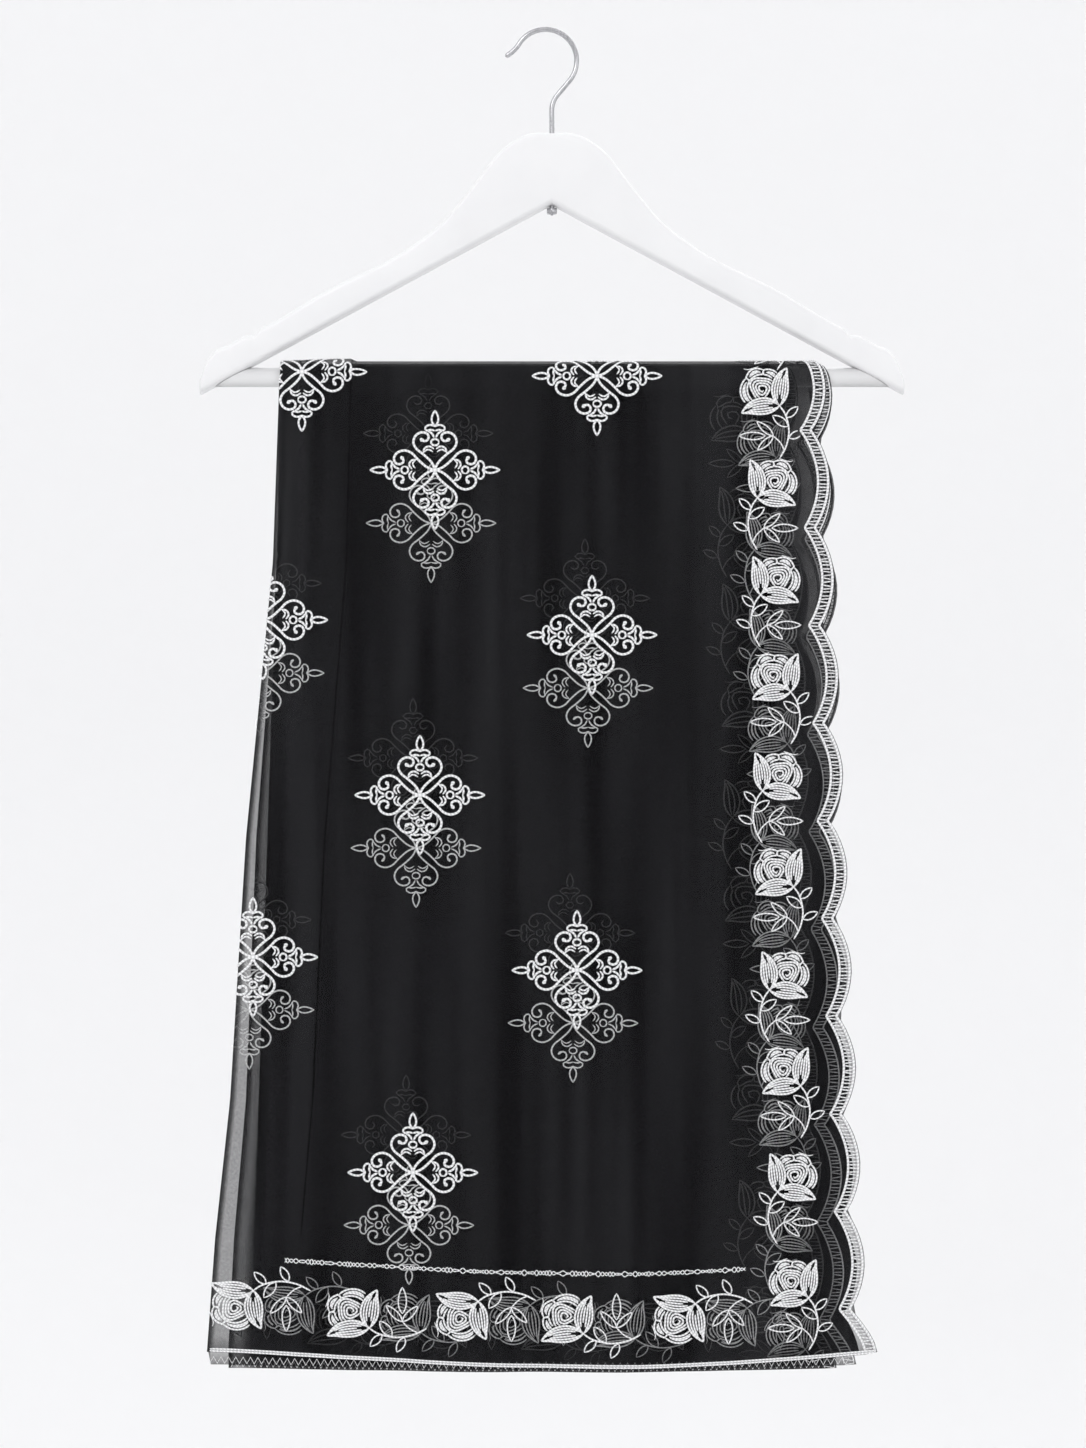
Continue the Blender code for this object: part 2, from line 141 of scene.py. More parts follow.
# Half the distance between the two walls of a fold, and half a wall.
FOLD_HALF = {"outer": 0.00075, "under": 0.00075, "inner": 0.00025, "inmost": 0.00025}
WALL_HALF = 0.0005

# Soft folds, as shares of the width: middle at the top and foot, half width, depth, start.
FRONT_FOLDS = (
    (0.22, 0.20, 0.13, 0.0020, 0.02), (0.43, 0.40, 0.16, 0.0026, 0.10),
    (0.67, 0.69, 0.14, 0.0022, 0.05),
)
BACK_FOLDS = (
    (0.24, 0.28, 0.15, 0.0024, 0.04), (0.52, 0.50, 0.17, 0.0030, 0.10),
    (0.70, 0.68, 0.13, 0.0018, 0.06),
)
# Slight ripples: waves across the width, waves down the drop, phase, height in metres.
RIPPLES = (
    (11.0, 1.3, 0.4, 0.00016), (17.0, -2.1, 1.9, 0.00012), (29.0, 3.4, 3.1, 0.00007),
    (5.0, 4.7, 5.0, 0.00010),
)


def smoothstep(value):
    value = np.clip(value, 0.0, 1.0)
    return value * value * (3 - 2 * value)


def hem_drop(layer, across):
    """Length from the bar's level to a layer's hem, which sags by a sine skewed to the right."""
    sag = layer.sag * np.sin(math.pi * np.clip(across, 0, 1) ** HEM_SKEW)
    return BAR_Z - CORNER_Z + layer.longer + sag


def stretches(layer, s):
    """Masks of front and back, the fall length below the bar's level, and its share."""
    behind = -s - math.pi * layer.depth
    front = s >= 0
    back = behind > 0
    fall = np.where(front, s, np.where(back, behind, 0.0))
    foot = np.where(front, BAR_Z - CORNER_Z, BAR_Z - BACK_FOOT_Z)
    return front, back, fall, np.clip(fall / foot, 0.0, 1.05)


def left_edge(layer, s):
    """The folded edge: the measured line in front, a straight one behind."""
    front, _, fall, share = stretches(layer, s)
    line = np.interp(BAR_Z - fall, FRONT_LEFT[:, 0], FRONT_LEFT[:, 1])
    line = line + layer.left_top + (layer.left_foot - layer.left_top) * share
    behind = FRONT_LEFT[-1, 1] - BACK_LEFT_SPREAD * np.minimum(share, 1) + layer.left_top
    return np.where(front, line, behind)


def seam_line(layer, s):
    """The line where the net ends and the scalloped edging begins."""
    front, _, _, share = stretches(layer, s)
    line = SEAM_TOP_X + np.where(front, FRONT_SEAM_SPREAD, BACK_SEAM_SPREAD) * np.minimum(share, 1)
    reach = layer.right_foot - layer.right_top
    shift = layer.right_top + reach * np.minimum(share, 1) ** layer.right_bend
    behind = layer.right_top * (1 - smoothstep(share / BACK_EASE))
    return line + np.where(front, shift, behind)


def scallop_phase(layer, s):
    """Scallops counted along the edge: whole numbers are the cusps."""
    front, _, fall, _ = stretches(layer, s)
    first = FIRST_FRONT_CUSP + layer.lower
    over = math.pi * layer.depth
    between = 2 * (first - s) / (first + over + FIRST_BACK_CUSP)
    behind = -s - over
    phase = np.where(front & (fall > first), (fall - first) / PITCH, between)
    return np.where(behind > FIRST_BACK_CUSP, (behind - FIRST_BACK_CUSP) / PITCH, phase)


def scallop_reach(layer, s):
    """Distance from the seam line to the scalloped edge: a rounded sine between cusps."""
    front, _, fall, _ = stretches(layer, s)
    bulge = BULGE * np.abs(np.sin(math.pi * scallop_phase(layer, s))) ** BULGE_POWER
    whole = BAR_Z - CORNER_Z + layer.longer
    flare = CORNER_FLARE * smoothstep(1 - (whole - fall) / CORNER_LENGTH)
    return CUSP_REACH + bulge + np.where(front, flare, 0.0)


def swell(folds, share, fall):
    """Raised cosines across the width, which grow down the drop."""
    total = np.zeros(np.broadcast(share, fall).shape)
    for top, foot, half_width, depth, start in folds:
        near = np.clip(np.abs(share - top - (foot - top) * fall) / half_width, 0.0, 1.0)
        total = total + depth * smoothstep((fall - start) / FOLD_GROWTH) * 0.5 * (1 + np.cos(math.pi * near))
    return total


def ripple(share, fall):
    """A few crossed sines that fade out at the bar."""
    total = np.zeros(np.broadcast(share, fall).shape)
    for across, down, phase, height in RIPPLES:
        total = total + height * np.sin(across * share * math.pi + down * fall * math.pi + phase)
    return total * smoothstep(fall / RIPPLE_GROWTH)


def pleat(layer, share, front, fall):
    """The pressed pleat of the outer layer: it rises slowly and drops at its edge."""
    if layer.name != "outer":
        return 0.0 * share
    rise = np.interp(share, (0.0, PLEAT_SHARE, PLEAT_SHARE + PLEAT_DROP), (0.0, PLEAT_RISE, 0.0))
    return rise * (1 - smoothstep(fall / np.where(front, PLEAT_END_FRONT, PLEAT_END_BACK)))


def on_cloth(layer, x, s, lift=0.0):
    """Points of the hung cloth for places x, s at a height lift above it.

    Past the folded edge the place goes round the fold, a half circle, and on to the sheet behind.
    Over the bar it is turned round the bar's centre line.
    """
    x, s, lift = np.broadcast_arrays(np.asarray(x, float), np.asarray(s, float), lift)
    half = FOLD_HALF[layer.name]
    left = left_edge(layer, s)
    turn_x = left + half + WALL_HALF
    past = np.maximum(turn_x - x, 0.0) if layer.name in ("outer", "inner") else np.zeros_like(x)
    angle = np.minimum(past / half, math.pi)
    beyond = np.maximum(past - math.pi * half, 0.0)
    place = np.where(past > 0, turn_x - (half + lift) * np.sin(angle) + beyond, x)
    depth = layer.depth - half + (half + lift) * np.cos(angle)
    front, back, fall, _ = stretches(layer, s)
    seam = seam_line(layer, s)
    share = (place - left) / (seam - left)
    across = np.clip(share, 0, 1) * SEAM_SHARE
    drop = np.where(front, hem_drop(layer, across), BAR_Z - BACK_FOOT_Z)
    down = np.clip(fall / drop, 0.0, 1.0)
    folds = np.where(front, swell(FRONT_FOLDS, share, down), swell(BACK_FOLDS, share, down))
    depth = depth + folds + ripple(share, down) + pleat(layer, share, front, down)
    turn = np.clip(-s / layer.depth, 0.0, math.pi)
    y = -depth * np.cos(turn)
    z = BAR_Z - fall + depth * np.sin(turn)
    return np.stack([place, y, z], axis=-1)


# Meshes


def new_mesh(name, points, quads, uv=None, smooth=True):
    """A mesh from whole arrays: points, four-cornered faces and a UV place for each point."""
    mesh = bpy.data.meshes.new(name)
    quads = np.asarray(quads, np.int32)
    mesh.vertices.add(len(points))
    mesh.vertices.foreach_set("co", np.asarray(points, np.float32).ravel())
    mesh.loops.add(quads.size)
    mesh.loops.foreach_set("vertex_index", quads.ravel())
    mesh.polygons.add(len(quads))
    mesh.polygons.foreach_set("loop_start", np.arange(0, quads.size, 4, dtype=np.int32))
    mesh.polygons.foreach_set("use_smooth", np.full(len(quads), smooth))
    if uv is not None:
        layer = mesh.uv_layers.new(name="flat")
        layer.data.foreach_set("uv", np.asarray(uv, np.float32)[quads.ravel()].ravel())
    mesh.update(calc_edges=True)
    mesh.validate()
    return mesh


def new_piece(name, mesh, material, replaced=()):
    """An object at the origin that rides with the body and stands for the named nodes."""
    piece = bpy.data.objects.new(name, mesh)
    bpy.context.scene.collection.objects.link(piece)
    mesh.materials.append(material)
    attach(piece, "root")
    if replaced:
        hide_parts(*replaced)
    return piece


def grid_quads(rows, columns, close_rows=False, close_columns=False):
    """Faces of a grid of points, joined round where asked."""
    i = np.arange(rows if close_rows else rows - 1)
    j = np.arange(columns if close_columns else columns - 1)
    a, b = np.meshgrid(i, j, indexing="ij")
    c, d = (a + 1) % rows, (b + 1) % columns
    return np.stack([a * columns + b, a * columns + d, c * columns + d, c * columns + b], -1).reshape(-1, 4)


def ring_cap(first, count):
    """Faces that close a ring of an even count of points, in strips from one side to the other."""
    i = np.arange(count // 2 - 1)
    return first + np.stack([i, i + 1, count - 2 - i, count - 1 - i], axis=-1)


def swept(rings):
    """Points and faces of equal rings joined in turn, with a narrower ring and a cap at each end."""
    rings = np.asarray(rings)
    first, last = (rings[k:k + 1] * 0.9 + rings[k].mean(axis=0) * 0.1 for k in (0, len(rings) - 1))
    rings = np.concatenate([first, rings, last])
    count = rings.shape[1]
    sides = grid_quads(len(rings), count, close_columns=True)
    ends = [ring_cap(0, count)[:, ::-1], ring_cap((len(rings) - 1) * count, count)]
    return rings.reshape(-1, 3), np.concatenate([sides[:, ::-1], *ends])[:, ::-1]


def curve_through(points, step):
    """A smooth curve through points: a cubic between each two, even in its steps."""
    points = np.asarray(points, float)
    padded = np.vstack([2 * points[0] - points[1], points, 2 * points[-1] - points[-2]])
    t = np.linspace(0, 1, 9)[:-1, None]
    a, b, c, d = padded[:-3], padded[1:-2], padded[2:-1], padded[3:]
    parts = [
        0.5 * (2 * q + (r - p) * t + (2 * p - 5 * q + 4 * r - u) * t**2 + (3 * q - p - 3 * r + u) * t**3)
        for p, q, r, u in zip(a, b, c, d)
    ]
    dense = np.vstack(parts + [points[-1:]])
    return evened(dense, step)


def evened(line, step):
    """The same line with points about a step apart."""
    length = np.concatenate([[0], np.cumsum(np.linalg.norm(np.diff(line, axis=0), axis=1))])
    count = max(2, int(round(length[-1] / step)) + 1)
    at = np.linspace(0, length[-1], count)
    return np.stack([np.interp(at, length, line[:, k]) for k in range(line.shape[1])], axis=-1)


def resampled(points, count):
    """A smooth line through points, as that many places along it."""
    dense = curve_through(points, 0.4)
    return dense[np.round(np.linspace(0, len(dense) - 1, count)).astype(int)]


# Section of a thread that lies on cloth: across and up, as shares of half its width and its height.
FINE_SECTION = np.array(((1.0, 0.3), (0.55, 0.92), (-0.55, 0.92), (-1.0, 0.3), (-0.6, 0.0), (0.6, 0.0)))
PLAIN_SECTION = np.array(((1.0, 0.1), (0.5, 0.9), (-0.5, 0.9), (-1.0, 0.1)))
# A thread's end, as a share of its width.
THREAD_END = 0.45
# A thread's underside lies this far above the middle of the net.
NET_TOP = 0.00012


def thread_mesh(name, layer, threads, fine, base):
    """Threads carried along their paths on the cloth.

    threads is a list of (path in metres, width, height, lift). Each section is set square to the
    path in cloth lengths and laid on by on_cloth. UV runs along the thread and round it, in metres.
    """
    section = FINE_SECTION if fine else PLAIN_SECTION
    count = len(section)
    flat, lifts, uvs, quads, first = [], [], [], [], 0
    for path, width, height, lift in threads:
        run = np.gradient(path, axis=0)
        run /= np.maximum(np.linalg.norm(run, axis=1, keepdims=True), 1e-9)
        side = np.stack([-run[:, 1], run[:, 0]], axis=-1)
        steps = len(path)
        taper = np.ones(steps)
        taper[0] = taper[-1] = THREAD_END
        reach = section[:, 0] * width / 2 * taper[:, None]
        flat.append((path[:, None] + side[:, None] * reach[..., None]).reshape(-1, 2))
        lifts.append((base + lift + section[:, 1] * height * (0.4 + 0.6 * taper[:, None])).ravel())
        length = np.concatenate([[0], np.cumsum(np.linalg.norm(np.diff(path, axis=0), axis=1))])
        around = np.arange(count) / count * width
        uvs.append(np.stack(np.broadcast_arrays(length[:, None], around[None]), -1).reshape(-1, 2))
        quads.append(first + grid_quads(steps, count, close_columns=True)[:, ::-1])
        ends = np.array([[0, 1, 2, 3]] + ([[0, 3, 4, 5]] if fine else []))
        quads.append(first + ends)
        quads.append(first + (steps - 1) * count + ends[:, ::-1])
        first += steps * count
    flat = np.concatenate(flat)
    points = on_cloth(layer, flat[:, 0], flat[:, 1], np.concatenate(lifts))
    return new_mesh(name, points, np.concatenate(quads), np.concatenate(uvs))


# Shader helpers


class Wire:
    """A node's output whose arithmetic adds Math nodes."""

    def __init__(self, nodes, socket):
        self.nodes = nodes
        self.socket = socket

    def math(self, operation, first, second=None):
        values = [first] if second is None else [first, second]
        return self.nodes.add("ShaderNodeMath", {"operation": operation}, dict(enumerate(values)))

    def __add__(self, other):
        return self.math("ADD", self, other)

    def __radd__(self, other):
        return self.math("ADD", other, self)

    def __sub__(self, other):
        return self.math("SUBTRACT", self, other)

    def __rsub__(self, other):
        return self.math("SUBTRACT", other, self)

    def __mul__(self, other):
        return self.math("MULTIPLY", self, other)

    def __rmul__(self, other):
        return self.math("MULTIPLY", other, self)

    def sine(self):
        return self.math("SINE", self)

    def abs(self):
        return self.math("ABSOLUTE", self)


class Nodes:
    """A material's node tree, with one Principled shader."""

    def __init__(self, name):
        self.material = bpy.data.materials.new(name)
        self.material.use_nodes = True
        self.tree = self.material.node_tree
        self.shader = self.tree.nodes["Principled BSDF"]

    def set(self, socket, value):
        if isinstance(value, Wire):
            self.tree.links.new(value.socket, socket)
        else:
            socket.default_value = value

    def add(self, kind, settings, inputs, output=0):
        node = self.tree.nodes.new(kind)
        for key, value in settings.items():
            setattr(node, key, value)
        for key, value in inputs.items():
            self.set(node.inputs[key], value)
        return Wire(self, node.outputs[output])

    def split(self, vector):
        parts = self.add("ShaderNodeSeparateXYZ", {}, {0: vector})
        return [Wire(self, parts.socket.node.outputs[i]) for i in range(3)]

    def object_place(self):
        return self.add("ShaderNodeTexCoord", {}, {}, "Object")

    def uv_place(self):
        return self.add("ShaderNodeTexCoord", {}, {}, "UV")

    def scaled(self, place, scale):
        return self.add("ShaderNodeMapping", {}, {"Vector": place, "Scale": scale})

    def noise(self, place, scale, detail=3.0):
        return self.add("ShaderNodeTexNoise", {}, {"Vector": place, "Scale": scale, "Detail": detail})

    def attribute(self, name):
        return self.add("ShaderNodeAttribute", {"attribute_name": name}, {}, "Fac")

    def spread(self, value, low, high, to_low, to_high):
        return self.add("ShaderNodeMapRange", {}, {0: value, 1: low, 2: high, 3: to_low, 4: to_high})

    def noise_to(self, noise, low, high):
        """A noise, most of which lies between 0.3 and 0.7, spread from low to high."""
        return self.spread(noise, 0.3, 0.7, low, high)

    def blend(self, factor, first, second):
        return self.add("ShaderNodeMix", {"data_type": "RGBA"}, {0: factor, 6: first, 7: second}, 2)

    def bump(self, height, strength, distance):
        inputs = {"Height": height, "Strength": strength, "Distance": distance}
        return self.add("ShaderNodeBump", {}, inputs)

    def finish(self, **sockets):
        for name, value in sockets.items():
            self.set(self.shader.inputs[name.replace("_", " ")], value)
        return self.material


def opaque(colour):
    """The colour with full alpha."""
    return (*colour, 1.0)


# Waves to a metre, and shares of the light that are stopped.
STREAK_SCALE = (60.0, 60.0, 3.0)
GRAIN_SCALE = 640.0
GRAIN_COVER = 0.03
CLOSE_COVER = 0.34
CREASE_COVER = 0.3
# A fainter crease lies beside the pressed one, this share of the width away; both get denser cover and
# painted crease shade.
SECOND_CREASE = 0.007


def net_material(name, look):
    """Fine dark net: crossed threads and an uneven grain thin the alpha. Lighter streaks along the drop are
    painted light that stands in for soft folds catching light.
    """
    n = Nodes(name)
    across, along, _ = n.split(n.uv_place())
    turns = 2 * math.pi / look.net_pitch
    threads = ((across * turns).sine() * (along * turns).sine()).abs()
    # Painted light: streaks along the drop blend the net towards a lighter colour where soft folds would
    # catch light.
    streaks = n.noise(n.scaled(n.object_place(), STREAK_SCALE), 1.0, 1.0)
    grain = n.noise(n.object_place(), GRAIN_SCALE, 0.0)
    colour = n.blend(n.noise_to(streaks, 0.0, 1.0), opaque(look.net_dark), opaque(look.net_fold_light))
    cover = (1 - threads) * look.net_contrast + look.net_cover
    cover = cover + n.noise_to(grain, -GRAIN_COVER, GRAIN_COVER)
    cover = cover + n.attribute("close") * CLOSE_COVER
    # The crease line: denser cover where the folded layers stack, and painted crease shade, as the colour is
    # blended to black.
    crease = n.attribute("across") - PLEAT_SHARE
    line = n.spread(crease.abs(), 0.0006, 0.0026, 1.0, 0.0)
    fainter = n.spread((crease - SECOND_CREASE).abs(), 0.0006, 0.0020, 0.35, 0.0)
    line = (line + fainter) * n.attribute("pressed")
    cover = cover + line * CREASE_COVER
    colour = n.blend(line, colour, opaque((0.0, 0.0, 0.0)))
    return n.finish(Base_Color=colour, Alpha=cover, Roughness=0.85, Specular_IOR_Level=0.06)


STITCH_LENGTH = 0.0022
# Radians to a metre round the thread, which lean the loops, and waves to a metre of its fuzz.
STITCH_LEAN = 2600.0
FUZZ_SCALE = 900.0


def thread_material(name, colour, shade, glow=0.0):
    """Chain stitch: loops along the thread raise it, and painted shade darkens the gaps between them.

    glow is painted light: an emission that stands for the light that white thread gathers between
    two layers of net. It is seen and lights nothing else, so it brings no grain.
    """
    n = Nodes(name)
    n.material.cycles.emission_sampling = "NONE"
    along, around, _ = n.split(n.uv_place())
    loops = (along * (2 * math.pi / STITCH_LENGTH) + around * STITCH_LEAN).sine()
    fuzz = n.noise(n.object_place(), FUZZ_SCALE, 2.0)
    height = loops * 0.7 + fuzz
    # Painted shade: the colour falls towards the shade colour in the gaps between the loops.
    gap_shaded_tint = n.blend(n.spread(loops, -1.0, 1.0, 0.0, 1.0), opaque(shade), opaque(colour))
    return n.finish(
        Base_Color=gap_shaded_tint, Roughness=0.65, Normal=n.bump(height, 0.5, 0.0002),
        Emission_Color=opaque(colour), Emission_Strength=glow)


# Share of the thread's colour, below 1 for painted shade on thread under other layers, and share of the
# painted glow.
THREAD_TONES = {
    "white_thread": (1.0, 0.0), "covered_thread_painted_glow": (1.0, 1.0), "faintly_shaded_thread": (0.95, 0.0),
    "deep_shaded_thread": (0.34, 0.0),
}


def embroidery_material(look, name):
    """The thread's material of that name, made at first use. Thread below the net gets painted shade, its
    colours scaled down, or a painted glow.
    """
    share, glow = THREAD_TONES[name]
    colours = [tuple(part * share for part in colour) for colour in (look.thread, look.thread_shade)]
    return bpy.data.materials.get(name) or thread_material(name, *colours, look.glow * glow)


def paint_material(look):
    """Satin white paint over wood: faint brush lines along the arms and slightly uneven gloss."""
    n = Nodes("white_paint")
    place = n.object_place()
    brush = n.noise(n.scaled(place, (14.0, 160.0, 160.0)), 1.0, 4.0)
    cloud = n.noise(place, 30.0)
    colour = n.blend(n.noise_to(cloud, 0.0, 1.0), opaque(look.paint), opaque(look.paint_shade))
    rough = n.noise_to(brush, 0.32, 0.46)
    return n.finish(Base_Color=colour, Roughness=rough, Normal=n.bump(brush, 0.06, 0.0003), Coat_Weight=0.15)


def steel_material(look):
    """Drawn steel wire: fine scratches along it and a few duller spots."""
    n = Nodes("hook_wire_steel")
    place = n.object_place()
    drawn = n.noise(n.scaled(place, (900.0, 900.0, 90.0)), 1.0, 2.0)
    dull = n.noise(place, 120.0)
    rough = n.spread(dull, 0.35, 0.75, 0.16, 0.34)
    colour = n.blend(n.noise_to(drawn, 0.0, 1.0), opaque(look.steel), opaque(look.steel_shade))
    return n.finish(Base_Color=colour, Metallic=1.0, Roughness=rough, Normal=n.bump(drawn, 0.05, 0.0001))


# Sizes and colours that a user would change


class HangerLook(bpy.types.PropertyGroup):
    paint: FloatVectorProperty(
        name="Paint", description="Colour of the white paint", subtype="COLOR", size=3,
        default=(0.76, 0.76, 0.765), min=0, max=1)
    paint_shade: FloatVectorProperty(
        name="Paint shade", description="Colour of the paint's thinner places", subtype="COLOR",
        size=3, default=(0.735, 0.735, 0.742), min=0, max=1)
    steel: FloatVectorProperty(
        name="Steel", description="Colour of the hook's wire", subtype="COLOR", size=3,
        default=(0.52, 0.52, 0.535), min=0, max=1)
    steel_shade: FloatVectorProperty(
        name="Steel shade", description="Colour of the wire's scratches", subtype="COLOR", size=3,
        default=(0.36, 0.36, 0.375), min=0, max=1)


class ClothLook(bpy.types.PropertyGroup):
    net_dark: FloatVectorProperty(
        name="Net", description="Colour of the net", subtype="COLOR", size=3,
        default=(0.0085, 0.0085, 0.0095), min=0, max=1)
    # Painted light: the streaks' lighter colour stands in for soft folds catching light.
    net_fold_light: FloatVectorProperty(
        name="Net streaks", description="Colour of the net's lighter streaks", subtype="COLOR",
        size=3, default=(0.024, 0.024, 0.026), min=0, max=1)
    net_pitch: FloatProperty(
        name="Net pitch", description="Distance from thread to thread, doubled", default=0.0009,
        unit="LENGTH")
    net_cover: FloatProperty(
        name="Cover", description="Least share of light that one layer stops", default=0.39,
        subtype="FACTOR", min=0, max=1)
    net_contrast: FloatProperty(
        name="Contrast", description="How much more the threads stop", default=0.05,
        subtype="FACTOR", min=0, max=1)


class EmbroideryLook(bpy.types.PropertyGroup):
    thread: FloatVectorProperty(
        name="Thread", description="Colour of the thread", subtype="COLOR", size=3,
        default=(0.90, 0.90, 0.905), min=0, max=1)
    # Painted shade: the colour that the thread takes in the gaps between its stitch loops.
    thread_shade: FloatVectorProperty(
        name="Thread shade", description="Colour between the stitches", subtype="COLOR", size=3,
        default=(0.62, 0.62, 0.63), min=0, max=1)
    line_width: FloatProperty(
        name="Line width", description="Width of the scrolls' thread", default=0.00155, unit="LENGTH")
    row_width: FloatProperty(
        name="Row width", description="Width of the roses' rows", default=0.00122, unit="LENGTH")
    # Painted light: emission given to thread under one layer of net, which is no lamp.
    glow: FloatProperty(
        name="Glow", description="Light that thread under a layer of net gives off", default=0.36,
        subtype="FACTOR", min=0, max=1)
    thread_height: FloatProperty(
        name="Thread height", description="How far a thread stands off the net", default=0.00055,
        unit="LENGTH")


class StageLook(bpy.types.PropertyGroup):
    floor_z: FloatProperty(
        name="Floor", description="Height of the floor", default=-1.75, unit="LENGTH")
    pale: FloatVectorProperty(
        name="Backdrop", description="Colour of floor and backdrop", subtype="COLOR", size=3,
        default=(0.90, 0.90, 0.903), min=0, max=1)


# Hanger


def hermite(points, step):
    """A smooth curve through points given as rising x: cubics with slopes from both neighbours."""
    x, y = points[:, 0], points[:, 1]
    slope = np.gradient(y, x)
    slope[0] = 0.0
    at = np.unique(np.concatenate([np.arange(0, x[-1], step), x]))
    i = np.clip(np.searchsorted(x, at, side="right") - 1, 0, len(x) - 2)
    span = x[i + 1] - x[i]
    t = (at - x[i]) / span
    return at, (
        (2 * t**3 - 3 * t**2 + 1) * y[i] + (t**3 - 2 * t**2 + t) * span * slope[i]
        + (3 * t**2 - 2 * t**3) * y[i + 1] + (t**3 - t**2) * span * slope[i + 1]
    )


def yoke_mesh():
    """The shoulder board: rounded rectangles carried from one tip to the other."""
    out, top = hermite(YOKE_TOP, 0.002)
    out = np.concatenate([-out[:0:-1], out])
    top = np.concatenate([top[:0:-1], top])
    low = APEX_Z - ARM_SLOPE * np.sqrt(out**2 + 1e-8)
    corner = np.minimum(YOKE_CORNER, THIN_CORNER * (top - low))
    angle = np.radians(np.concatenate([90 * q + np.linspace(0, 90, 8) for q in range(4)]))
    side = np.repeat([1, -1, -1, 1], 8)
    level = np.repeat([1, 1, 0, 0], 8)
    centre_y = side[None] * (YOKE_HALF - corner[:, None])
    centre_z = np.where(level[None] == 1, top[:, None] - corner[:, None], low[:, None] + corner[:, None])
    y = centre_y + corner[:, None] * np.cos(angle)
    z = centre_z + corner[:, None] * np.sin(angle)
    x = np.broadcast_to(STEM_X + out[:, None], y.shape)
    points, quads = swept(np.stack([x, y, z], axis=-1))
    return new_mesh("yoke_board", points, quads)


def bar_mesh():
    """The round bar with ends scribed to the arms' slopes, and its two tenons."""
    angle = 2 * math.pi * (np.arange(48) + 0.5) / 48
    rings = []
    for side, radius in ((-1, 0.0), (-1, TENON_RADIUS), (-1, BAR_RADIUS), (1, BAR_RADIUS),
                         (1, TENON_RADIUS), (1, 0.0)):
        reach = TENON_RADIUS if radius == 0.0 else radius
        z = BAR_Z + reach * np.sin(angle)
        out = (APEX_Z - z - BAR_GAP) / ARM_SLOPE if radius else np.full(48, TENON_REACH)
        rings.append(np.stack([STEM_X + side * out, reach * np.cos(angle), z], axis=-1))
    points, quads = swept(rings)
    return new_mesh("bar_dowel", points, quads)


def tube(path, radius, sides=20):
    """A round wire along a path in the plane Y 0, with rounded ends."""
    run = np.gradient(path, axis=0)
    run /= np.linalg.norm(run, axis=1, keepdims=True)
    side = np.stack([-run[:, 1], run[:, 0]], axis=-1)
    length = np.concatenate([[0], np.cumsum(np.linalg.norm(np.diff(path, axis=0), axis=1))])
    inset = np.clip(np.minimum(length, length[-1] - length) / radius, 0, 1)
    reach = radius * np.sqrt(np.clip(1 - (1 - inset) ** 2, 0.02, 1))
    angle = 2 * math.pi * np.arange(sides) / sides
    x = path[:, :1] + side[:, :1] * reach[:, None] * np.cos(angle)
    z = path[:, 1:] + side[:, 1:] * reach[:, None] * np.cos(angle)
    y = -reach[:, None] * np.broadcast_to(np.sin(angle), x.shape)
    return swept(np.stack([x, y, z], axis=-1))


def hook_mesh():
    """The hook's wire: tip, eye, slanted run, bend and stem, each an arc or a quadratic curve."""
    turn = EYE_RADIUS + WIRE_RADIUS
    angle = np.linspace(EYE_START, EYE_END, 90)
    eye = np.stack([turn * np.cos(angle), turn * np.sin(angle) - EYE_RADIUS], axis=-1)
    slant = np.array((math.sin(EYE_END), -math.cos(EYE_END)))
    corner = eye[-1] + slant * (STEM_X - eye[-1, 0]) / slant[0]
    t = np.linspace(0, 1, 16)[:, None]
    tip = (1 - t) ** 2 * eye[0] + 2 * t * (1 - t) * np.array(HOOK_TIP_PULL) + t**2 * np.array(HOOK_TIP)
    start, end = corner - slant * STEM_BEND, corner - np.array((0.0, STEM_BEND))
    bend = (1 - t) ** 2 * start + 2 * t * (1 - t) * corner + t**2 * end
    path = np.concatenate([tip[:0:-1], eye, bend, [(STEM_X, STEM_END_Z)]])
    points, quads = tube(evened(path, 0.0008), WIRE_RADIUS)
    return new_mesh("hook_wire", points, quads)


def nut_mesh():
    """A six-sided nut with eased corners: rings round the stem, outside and then inside."""
    top = APEX_Z - ARM_SLOPE * NUT_RADIUS - SEAT_GAP
    angle = 2 * math.pi * np.arange(48) / 48
    flat = NUT_RADIUS * math.cos(math.pi / 6)
    facet = np.mod(angle + math.pi / 6, math.pi / 3) - math.pi / 6
    hexagon = np.minimum(flat / np.cos(facet), NUT_RADIUS)
    rings = []
    for share, radius in ((0.0, 0.90), (0.15, 1.0), (0.85, 1.0), (1.0, 0.90)):
        rings.append((top - NUT_HEIGHT * share, hexagon * radius))
    bore = np.full(48, WIRE_RADIUS + SEAT_GAP)
    rings += [(top - NUT_HEIGHT, bore), (top, bore)]
    rings = np.array([
        np.stack([STEM_X + r * np.cos(angle), r * np.sin(angle), np.full(48, z)], axis=-1)
        for z, r in rings
    ])
    quads = grid_quads(len(rings), 48, close_rows=True, close_columns=True)[:, ::-1]
    return new_mesh("stem_nut", rings.reshape(-1, 3), quads)


class STOLE_OT_hanger(bpy.types.Operator):
    """Makes the painted yoke and bar, and the steel hook with its nut"""

    bl_idname = "stole.hanger"
    bl_label = "Hanger"

    def execute(self, context):
        look = context.scene.stole_hanger
        paint = paint_material(look)
        steel = steel_material(look)
        new_piece("yoke_board", yoke_mesh(), paint, ["hanger_yoke"])
        new_piece("bar_dowel", bar_mesh(), paint, ["hanger_bar"])
        new_piece("hook_wire", hook_mesh(), steel, ["hanger_hook"])
        new_piece("stem_nut", nut_mesh(), steel, ["hook_nut"])
        return {"FINISHED"}


# Cloth


